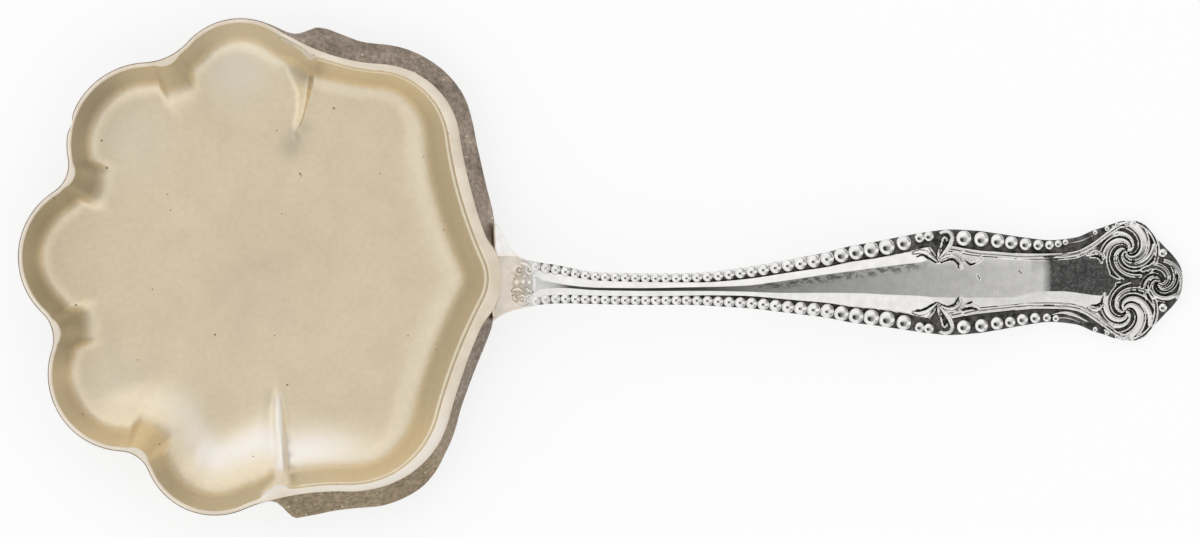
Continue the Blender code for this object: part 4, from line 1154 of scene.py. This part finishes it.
print("beads in the two borders:", len(bead_places(UPPER_END)), "and", len(bead_places(LOWER_END)))

# %% [markdown]
# ### Making the beads
# Each bead is a small grid rolled to a ring and drawn together at crown and foot. It sits
# on the ledge and leans with the fall of the handle. The beads are then joined to one
# piece.

# %% Beads
BEAD_SEGMENTS = 20
BEAD_RADIUS, BEAD_HEIGHT, BEAD_LEAN = 0.54, 0.85, 0.08
LEAF_AT, FLAT_FROM = 48.0, 36.0
OUTER_INSET, UPPER_INSET, LOWER_INSET = 0.6, 0.5, 0.53
LEDGE_LIFT = 0.12
PLATE_BEADS = ((72.4, 3.02), (72.4, -2.95))
PLATE_BEAD_RADIUS, PLATE_LEDGE = 0.46, 0.4


def bead(centre, radius, levels):
    """Rows of places on one bead, from its foot up to its crown, leaning with the fall of the handle."""
    turn = np.linspace(0.0, 2 * math.pi, BEAD_SEGMENTS, endpoint=False)
    rows = []
    for share, level in levels:
        u, v = share * radius * np.cos(turn), share * radius * np.sin(turn)
        z = centre[2] + level * radius * BEAD_HEIGHT - BEAD_LEAN * (u + v)
        rows.append(np.stack([centre[0] + u, centre[1] + v, z], axis=1))
    foot = np.repeat(np.mean(rows[0], axis=0)[None], BEAD_SEGMENTS, axis=0)
    return closed(np.array([foot] + rows))


def seat(place, aside, ledge):
    """Where a bead sits, by its distance along, its distance aside and the depth of its ledge."""
    return HEEL + place, float(middle_line(place)) + aside, float(arch(np.array(place)) - ledge)


def make_beads():
    """All beads of both borders, joined to one piece."""
    beads = []
    for side, outline, end in ((1, UPPER_OUTLINE, UPPER_END), (-1, LOWER_OUTLINE, LOWER_END)):
        for place, size in bead_places(end):
            inset = OUTER_INSET if place > LEAF_AT else UPPER_INSET if side > 0 else LOWER_INSET
            aside = side * (float(curve_through(outline, np.array(place))) - inset * size)
            ledge = curve_through(LEDGE_DEEP, np.array(place)) - LEDGE_LIFT
            levels = ROUND_BEAD if place < FLAT_FROM else FLAT_BEAD
            beads.append(bead(seat(place, aside, ledge), BEAD_RADIUS * size, levels))
    for place, aside in PLATE_BEADS:
        beads.append(bead(seat(place, aside, PLATE_LEDGE), PLATE_BEAD_RADIUS, FLAT_BEAD))
    beads = [shaped_grid("bead", rows, None, 60.0) for rows in beads]
    bpy.ops.object.select_all(action="DESELECT")
    for piece in beads:
        piece.select_set(True)
    bpy.context.view_layer.objects.active = beads[0]
    bpy.ops.object.join()
    beads[0].name = "bead_borders"
    print("beads:", len(beads))
    return beads[0]


bead_borders = make_beads()
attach(bead_borders, "root")
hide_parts("handle")

# %% [markdown]
# ## The solder joint
# The heel of the handle is hard-soldered to the back of the bowl. The joint was filed
# flush, so it is a low fillet along the seam. A bevel between the two pieces would need
# them to be one mesh, so the fillet is a thin closed strip of its own.

# %% Solder
SEAM_FROM, SEAM_TO, SEAM_ROWS = -5.4, 4.9, 60
SEAM_SIDES = 16
SEAM_HALF_WIDTH, SEAM_SWELL, SEAM_RISE, SEAM_SINK = 0.24, 0.3, 0.3, 0.38
WING_DROP, WING_AT = 0.5, 1.33


def solder_surface():
    """Closed low sections that follow the back of the bowl."""
    turn = np.linspace(0.0, 2 * math.pi, SEAM_SIDES, endpoint=False)
    middle, half = (SEAM_FROM + SEAM_TO) / 2, (SEAM_TO - SEAM_FROM) / 2
    rows = []
    for y in np.linspace(SEAM_FROM, SEAM_TO, SEAM_ROWS):
        thin = math.sqrt(max(0.0, 1 - (abs(y - middle) / half) ** 6))
        swell = SEAM_SWELL * float(between(-y, 3.1, 1.5, 3.6, 1.7))
        x = heel_line(y) - swell + (SEAM_HALF_WIDTH + swell) * np.cos(turn) * (0.3 + 0.7 * thin)
        z = RIM_HEIGHT - SEAM_SINK - WING_DROP * max(0.0, y - WING_AT) + SEAM_RISE * np.sin(turn) * thin
        rows.append(np.stack([x, np.full(SEAM_SIDES, y), z], axis=1))
    first, last = (np.repeat(row.mean(axis=0)[None], SEAM_SIDES, axis=0) for row in (rows[0], rows[-1]))
    return closed(np.array([first] + rows + [last]))


solder_fillet = shaped_grid("solder_fillet", solder_surface(), None, 60.0)
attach(solder_fillet, "root")
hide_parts("solder_seam")
print("solder fillet, length in mm:", round(SEAM_TO - SEAM_FROM, 1))

# %% [markdown]
# ## Materials
# Every finish here is a metal, told apart by its colour, its roughness and its marks. A
# picture could be laid over each piece, but it would bring its own light and blur close
# up. So the finishes are drawn with nodes. The first helper adds nodes and joins them.

# %% Wiring


def grey(value):
    """An even grey, as a colour socket wants it."""
    return value, value, value, 1.0


class Wiring:
    """Short ways to add nodes to a material or a world and to join them."""

    def __init__(self, tree):
        self.nodes = tree.nodes
        self.links = tree.links

    def feed(self, socket, source):
        """Set a socket to a number or colour, or link it to another node."""
        if isinstance(source, bpy.types.NodeSocket):
            self.links.new(source, socket)
        else:
            socket.default_value = source

    def add(self, kind, sockets=None, **settings):
        """Add a node, set its settings and feed its sockets."""
        node = self.nodes.new("ShaderNode" + kind)
        for name, value in settings.items():
            setattr(node, name, value)
        for name, source in (sockets or {}).items():
            self.feed(node.inputs[name], source)
        return node

    def ramp(self, source, *stops):
        """Colour ramp with (place, grey or colour) stops."""
        node = self.add("ValToRGB", {"Fac": source})
        while len(node.color_ramp.elements) < len(stops):
            node.color_ramp.elements.new(0.5)
        for element, (place, colour) in zip(node.color_ramp.elements, stops):
            element.position = place
            element.color = grey(colour) if isinstance(colour, float) else (*colour, 1.0)
        return node.outputs["Color"]

    def mix(self, share, first, second, kind="MIX"):
        """Mix two colours."""
        sockets = {"Factor": share, "A": first, "B": second}
        node = self.add("Mix", data_type="RGBA", blend_type=kind)
        for socket in node.inputs:
            if socket.enabled and socket.name in sockets:
                self.feed(socket, sockets[socket.name])
        return [socket for socket in node.outputs if socket.enabled][0]

    def math(self, kind, first, second):
        """Arithmetic on two numbers."""
        return self.add("Math", {0: first, 1: second}, operation=kind).outputs[0]

    def product(self, first, *others):
        """Product of several numbers."""
        for other in others:
            first = self.math("MULTIPLY", first, other)
        return first

    def slide(self, source, low, high, start=0.0, end=1.0):
        """Go softly from one number to another while the source goes from low to high."""
        sockets = {"Value": source, "From Min": low, "From Max": high, "To Min": start, "To Max": end}
        return self.add("MapRange", sockets, interpolation_type="SMOOTHSTEP").outputs[0]


print("helpers for nodes:", [name for name in vars(Wiring) if not name.startswith("_")])

# %% [markdown]
# ### A metal to start from
# All finishes start from the same shader with its metallic value at 1, and add noise,
# spots and the marks that were stored on the points. Object coordinates keep every grain
# at its real size. A class holds what the finishes share, so each of them below is only
# a short list of layers.

# %% Metal


class Metal(Wiring):
    """A metal with a Principled shader, drawn in the piece's own coordinates."""

    def __init__(self, name):
        self.material = bpy.data.materials.new(name)
        self.material.use_nodes = True
        super().__init__(self.material.node_tree)
        self.shader = self.nodes["Principled BSDF"]
        self.shader.inputs["Metallic"].default_value = 1.0
        self.place = self.add("TexCoord").outputs["Object"]

    def noise(self, scale, detail=4.0, roughness=0.55, stretch=(1.0, 1.0, 1.0)):
        """Cloudy noise; scale counts its features per metre."""
        place = self.add("Mapping", {"Vector": self.place, "Scale": stretch}).outputs["Vector"]
        sockets = {"Vector": place, "Scale": scale, "Detail": detail, "Roughness": roughness}
        return self.add("TexNoise", sockets).outputs["Fac"]

    def mark(self, label):
        """Number that was stored on the points of the piece."""
        return self.add("Attribute", attribute_name=label).outputs["Fac"]

    def spots(self, scale, size, share):
        """Round spots in some of the cells of a flat cell pattern."""
        node = self.add("TexVoronoi", {"Vector": self.place, "Scale": scale}, voronoi_dimensions="2D")
        near = self.slide(node.outputs["Distance"], size * 0.7, size, 1.0, 0.0)
        split = self.add("SeparateColor", {"Color": node.outputs["Color"]})
        return self.math("MULTIPLY", near, self.math("LESS_THAN", split.outputs[2], share))

    def bump(self, source, strength, distance):
        """Fine unevenness of the surface."""
        node = self.add("Bump", {"Height": source, "Strength": strength, "Distance": distance})
        self.feed(self.shader.inputs["Normal"], node.outputs["Normal"])

    def paint(self, colour, roughness):
        """Join colour and roughness to the shader."""
        self.feed(self.shader.inputs["Base Color"], colour)
        self.feed(self.shader.inputs["Roughness"], roughness)


def cover(piece, material):
    """Give a piece one material."""
    piece.data.materials.clear()
    piece.data.materials.append(material)
    print(piece.name, "wears", material.name)


# %% [markdown]
# ### Gold wash
# The gilding is satin, with tiny dark pits. Painted shade darkens the wall and the places
# beside the folds, where a few faint stains also lie, and painted highlights lighten the
# scoop, the crest of the lower fold and the land. The land has lost most of its gold and
# shows cream. Noise alone can't know where the wall or the land is, so these layers follow
# the marks that were stored with the shape.

# %% Gold wash
GOLD = (0.96, 0.82, 0.585)
PALE_GOLD = (0.98, 0.85, 0.625)
# Tones of the painted shade on the wall.
WALL_SHADE_TONES = ((0.0, (1.0, 1.0, 1.0)), (0.1, (0.91, 0.93, 0.97)), (0.4, (0.75, 0.78, 0.84)),
              (0.7, (0.65, 0.68, 0.74)), (1.0, (0.52, 0.55, 0.6)))
# Colour of the painted highlights.
HIGHLIGHT = (1.0, 0.95, 0.87, 1.0)
WORN_RIM = ((0.85, 0.75, 0.61), (1.0, 0.91, 0.77))
# Colour of the painted shade beside the folds, and of the faint stains.
STAIN_AND_SHADE = (0.42, 0.38, 0.33, 1.0)
PIT = (0.3, 0.22, 0.13, 1.0)
WORN_ROUGHNESS = 0.62


def gold_wash():
    """Satin gilding with wear, stains, pits, painted shade and painted highlights."""
    w = Metal("gold_wash")
    clouds = w.ramp(w.noise(60.0), (0.3, GOLD), (0.75, PALE_GOLD))
    grain = w.ramp(w.noise(1600.0, 3.0), (0.3, 0.93), (0.7, 1.0))
    # Painted shade: the wall mark darkens the wall by bearing.
    colour = w.mix(1.0, clouds, w.ramp(w.mark("wall"), *WALL_SHADE_TONES), "MULTIPLY")
    colour = w.mix(1.0, colour, grain, "MULTIPLY")
    land_tone = w.ramp(w.noise(250.0), (0.35, WORN_RIM[0]), (0.65, WORN_RIM[1]))
    colour = w.mix(w.mark("worn"), colour, land_tone)
    # Painted highlights in the scoop, on the crest of the lower fold, on spots and on the land.
    colour = w.mix(w.mark("pale"), colour, HIGHLIGHT)
    # Painted shade beside the folds, with faint stains.
    colour = w.mix(w.mark("smudge"), colour, STAIN_AND_SHADE)
    colour = w.mix(w.spots(300.0, 0.04, 0.04), colour, PIT)
    colour = w.mix(w.spots(520.0, 0.045, 0.025), colour, PIT)
    rough = w.ramp(w.noise(300.0), (0.3, 0.44), (0.7, 0.5))
    w.paint(colour, w.mix(w.mark("worn"), rough, grey(WORN_ROUGHNESS)))
    w.bump(w.noise(1300.0, 5.0), 0.1, 0.00006)
    return w.material


cover(gold_lining, gold_wash())

# %% [markdown]
# ### Tarnished silver
# The outside of the bowl has turned a mottled brown-grey with light specks, and it is drawn
# yellower towards -Y. One dark colour would look like paint. A coarse noise makes the
# blotches, a fine one multiplied with it makes their grain, and small cell spots make the
# specks.

# %% Tarnished silver of the bowl
TARNISH = ((0.3, (0.28, 0.225, 0.185)), (0.55, (0.46, 0.375, 0.3)), (0.75, (0.62, 0.525, 0.43)))
MINUS_Y_TINT = (0.52, 0.415, 0.255, 1.0)
LIGHT_SPECK = (0.8, 0.74, 0.66, 1.0)


def tarnished_silver():
    """Silver with a mottled brown-grey tarnish and light specks."""
    w = Metal("tarnished_silver")
    blotch = w.ramp(w.noise(420.0, 6.0, 0.7), *TARNISH)
    grain = w.ramp(w.noise(2200.0, 5.0, 0.7), (0.36, 0.55), (0.62, 1.0))
    side = w.add("SeparateXYZ", {0: w.place}).outputs["Y"]
    blotch = w.mix(w.slide(side, -0.012, -0.022, 0.0, 0.6), blotch, MINUS_Y_TINT)
    colour = w.mix(1.0, blotch, grain, "MULTIPLY")
    colour = w.mix(w.spots(1400.0, 0.14, 0.06), colour, LIGHT_SPECK)
    w.paint(colour, w.ramp(w.noise(700.0), (0.3, 0.42), (0.7, 0.62)))
    w.bump(w.noise(1500.0, 6.0), 0.3, 0.0001)
    return w.material


cover(silver_bowl, tarnished_silver())

# %% [markdown]
# ### Places on the handle
# The handle is bright, but not evenly. A warm satin film lies on the heel, and a narrow
# band beside the ridge of the stem is speckled dark. Such places could be painted on the
# points, but a soft mask by position needs no finer mesh.

# %% Polished silver: heel and speckled band
# Where each edge of the speckled band starts and where the specks are full, in metres.
BAND_SLOPE = 0.137
BAND_EDGES = ((-0.0104, -0.0097), (-0.0092, -0.0094))
BAND_ENDS = ((0.0535, 0.056), (0.0745, 0.071))


def heel_film(w, ends, sides):
    """Two masks at the heel: the warm film, and the satin that reaches a little further."""
    level = w.slide(sides, 0.0008, 0.0022, 1.0, 0.05)
    warm = w.product(w.slide(ends, 0.0285, 0.0305, 1.0, 0.0), level)
    satin = w.product(w.slide(ends, 0.0315, 0.0345, 0.8, 0.0), level)
    return warm, w.math("MAXIMUM", warm, satin)


def speckled_band(w, ends, sides):
    """Mask of the dark specks on faces that look up."""
    facing_up = w.add("SeparateXYZ", {0: w.add("NewGeometry").outputs["Normal"]}).outputs["Z"]
    band = w.math("SUBTRACT", sides, w.math("MULTIPLY", ends, BAND_SLOPE))
    edges = [w.slide(band, *edge) for edge in BAND_EDGES] + [w.slide(ends, *edge) for edge in BAND_ENDS]
    grain = w.slide(w.noise(1900.0, 5.0, 0.65, (0.6, 1.0, 1.0)), 0.44, 0.57, 0.0, 0.75)
    return w.product(*edges, w.slide(facing_up, 0.2, 0.5), grain)


print("speckled band, length in mm:", round((BAND_ENDS[1][0] - BAND_ENDS[0][0]) / MM))

# %% [markdown]
# ### Polished silver
# Polished silver is nearly a mirror, so its look comes from what it mirrors, and a low
# roughness does most of the work. A faint film keeps it from looking like chrome. In the
# recesses the mark that was stored with the relief lays on black oxide, brown at the heel.
# The beads have no such mark and are a little smoother.

# %% Polished silver of the handle
SILVER = (0.93, 0.92, 0.9, 1.0)
CREAM = (0.95, 0.86, 0.75, 1.0)
BROWN = (0.3, 0.25, 0.19, 1.0)
OXIDE = ((0.35, (0.04, 0.039, 0.038)), (0.65, (0.19, 0.185, 0.18)))
DARK_SPECK = grey(0.12)
SATIN_ROUGHNESS, OXIDE_ROUGHNESS = 0.42, 0.55
HANDLE_ROUGHNESS, BEAD_ROUGHNESS = 0.07, 0.06


def polished_silver(name, relief, smooth):
    """Bright silver with a fine film, warm and satin at the heel, dark in its recesses."""
    w = Metal(name)
    ends, sides, _ = w.add("SeparateXYZ", {0: w.place}).outputs
    warm, satin = heel_film(w, ends, sides)
    film = w.ramp(w.noise(1100.0, 5.0), (0.35, 0.88), (0.65, 1.0))
    colour = w.mix(1.0, w.mix(warm, SILVER, CREAM), film, "MULTIPLY")
    rough = w.ramp(w.noise(800.0, 4.0), (0.3, smooth), (0.7, smooth + 0.05))
    rough = w.mix(satin, rough, grey(SATIN_ROUGHNESS))
    mottle = w.product(w.slide(ends, 0.0858, 0.0862), w.slide(w.noise(3500.0, 3.0), 0.4, 0.65))
    rough = w.math("ADD", rough, w.math("MULTIPLY", mottle, 0.08))
    colour = w.mix(speckled_band(w, ends, sides), colour, DARK_SPECK)
    if relief:
        oxide = w.ramp(w.noise(1500.0, 4.0), *OXIDE)
        oxide = w.mix(w.slide(ends, 0.0305, 0.0325), BROWN, oxide)
        colour = w.mix(w.mark("recess"), colour, oxide)
        rough = w.mix(w.mark("recess"), rough, grey(OXIDE_ROUGHNESS))
    w.paint(colour, rough)
    w.bump(w.noise(2500.0, 3.0, 0.6, (0.25, 1.0, 1.0)), 0.06, 0.00005)
    return w.material


cover(handle_body, polished_silver("polished_silver", True, HANDLE_ROUGHNESS))
cover(bead_borders, polished_silver("bead_silver", False, BEAD_ROUGHNESS))

# %% [markdown]
# ### Filed solder
# The joint was filed and then took on the same warm film as the land beside it. The land's
# finish would do, but it reads marks that the fillet doesn't have, so the solder gets a
# short material of its own.

# %% Filed solder
SOLDER = ((0.3, (0.9, 0.82, 0.71)), (0.7, (0.97, 0.88, 0.77)))


def filed_solder():
    """Filed solder under the same warm film as the land."""
    w = Metal("filed_solder")
    w.paint(w.ramp(w.noise(600.0), *SOLDER), w.ramp(w.noise(900.0), (0.3, 0.4), (0.7, 0.55)))
    return w.material


cover(solder_fillet, filed_solder())

# %% [markdown]
# ## The floor
# The spoon lies on a white table. A plain white floor would come out grey and uneven under
# a soft light. So the camera sees a floor that glows a little and keeps a faint shadow,
# while the light that bounces off it goes by an ordinary white.

# %% Floor
FLOOR_SIZE, FLOOR_PLACE = 3.0, (0.04, 0.0, -0.0001)
FLOOR_SHADE, FLOOR_GLOW, FLOOR_WHITE = 0.25, 0.78, 0.9


def white_floor():
    """White floor that keeps a faint shadow of the spoon."""
    bpy.ops.mesh.primitive_plane_add(size=FLOOR_SIZE, location=FLOOR_PLACE)
    floor = bpy.context.object
    floor.name = "floor"
    material = bpy.data.materials.new("floor")
    material.use_nodes = True
    w = Wiring(material.node_tree)
    w.nodes.clear()
    shadow = w.add("BsdfDiffuse", {"Color": grey(FLOOR_SHADE)})
    glow = w.add("Emission", {"Strength": FLOOR_GLOW})
    white = w.add("AddShader", {0: shadow.outputs[0], 1: glow.outputs[0]})
    plain = w.add("BsdfDiffuse", {"Color": grey(FLOOR_WHITE)})
    ray = w.add("LightPath").outputs
    seen = w.math("MAXIMUM", ray["Is Camera Ray"], ray["Is Glossy Ray"])
    seen = w.math("MAXIMUM", seen, ray["Is Transmission Ray"])
    choice = w.add("MixShader", {0: seen, 1: plain.outputs[0], 2: white.outputs[0]})
    w.add("OutputMaterial", {"Surface": choice.outputs[0]})
    floor.data.materials.append(material)


white_floor()
print("floor, width in m:", FLOOR_SIZE)

# %% [markdown]
# ## The light
# The soft light of a white studio is strongest from the far side, and straight above hangs
# the dark camera, which the polished silver shows. Area lamps could light the spoon, but a
# mirror shows every edge of a lamp. So the light is drawn on the sky, as a brightness for
# each direction.

# %% Light
# Height of the direction, from level to straight up, and brightness.
OVERHEAD = ((0.0, 0.34), (0.2, 0.4), (0.45, 0.57), (0.6, 0.76), (0.7, 0.88), (0.82, 0.99), (0.906, 1.0),
            (0.94, 1.0), (0.966, 0.92), (0.978, 0.45), (0.988, 0.05), (1.0, 0.03))
# Lean from straight up towards +Y in degrees, cosines where the edge starts and ends, and brightness.
LAMPS = ((48, 0.75, 0.9, 1.0), (-50, 0.72, 0.9, 0.95))
# Share of the direction that points along +X, and brightness.
GREY_END = ((0.0, 0.05), (0.1, 0.05), (0.19, 0.26), (0.276, 0.34), (0.375, 0.48), (0.574, 1.0))


def studio():
    """Light from all round, by its direction."""
    world = bpy.data.worlds.new("studio")
    scene.world = world
    world.use_nodes = True
    w = Wiring(world.node_tree)
    w.nodes.clear()
    way = w.add("TexCoord").outputs["Generated"]
    x, y, z = w.add("SeparateXYZ", {0: way}).outputs
    light = w.ramp(z, *OVERHEAD)
    light = w.math("MULTIPLY", light, w.slide(x, -1.0, 1.0, 1.15, 0.7))
    for lean, edge, full, bright in LAMPS:
        middle = (0.0, math.sin(math.radians(lean)), math.cos(math.radians(lean)))
        facing = w.add("VectorMath", {0: way, 1: middle}, operation="DOT_PRODUCT").outputs["Value"]
        light = w.math("MAXIMUM", light, w.slide(facing, edge, full, 0.0, bright))
    light = w.math("MAXIMUM", light, w.slide(x, -0.22, -0.13, 0.85, 0.0))
    narrow = w.slide(w.math("ABSOLUTE", y, 0.0), 0.12, 0.3, 1.0, 0.0)
    light = w.mix(w.math("MULTIPLY", narrow, w.slide(x, 0.02, 0.1)), light, w.ramp(x, *GREY_END))
    lit = w.add("Background", {"Color": light})
    white = w.add("Background", {"Color": grey(1.0)})
    seen = w.add("LightPath").outputs["Is Camera Ray"]
    choice = w.add("MixShader", {0: seen, 1: lit.outputs[0], 2: white.outputs[0]})
    w.add("OutputWorld", {"Surface": choice.outputs[0]})


studio()
scene.view_settings.view_transform = "Standard"
print("lamps on the sky:", len(LAMPS))

# %% [markdown]
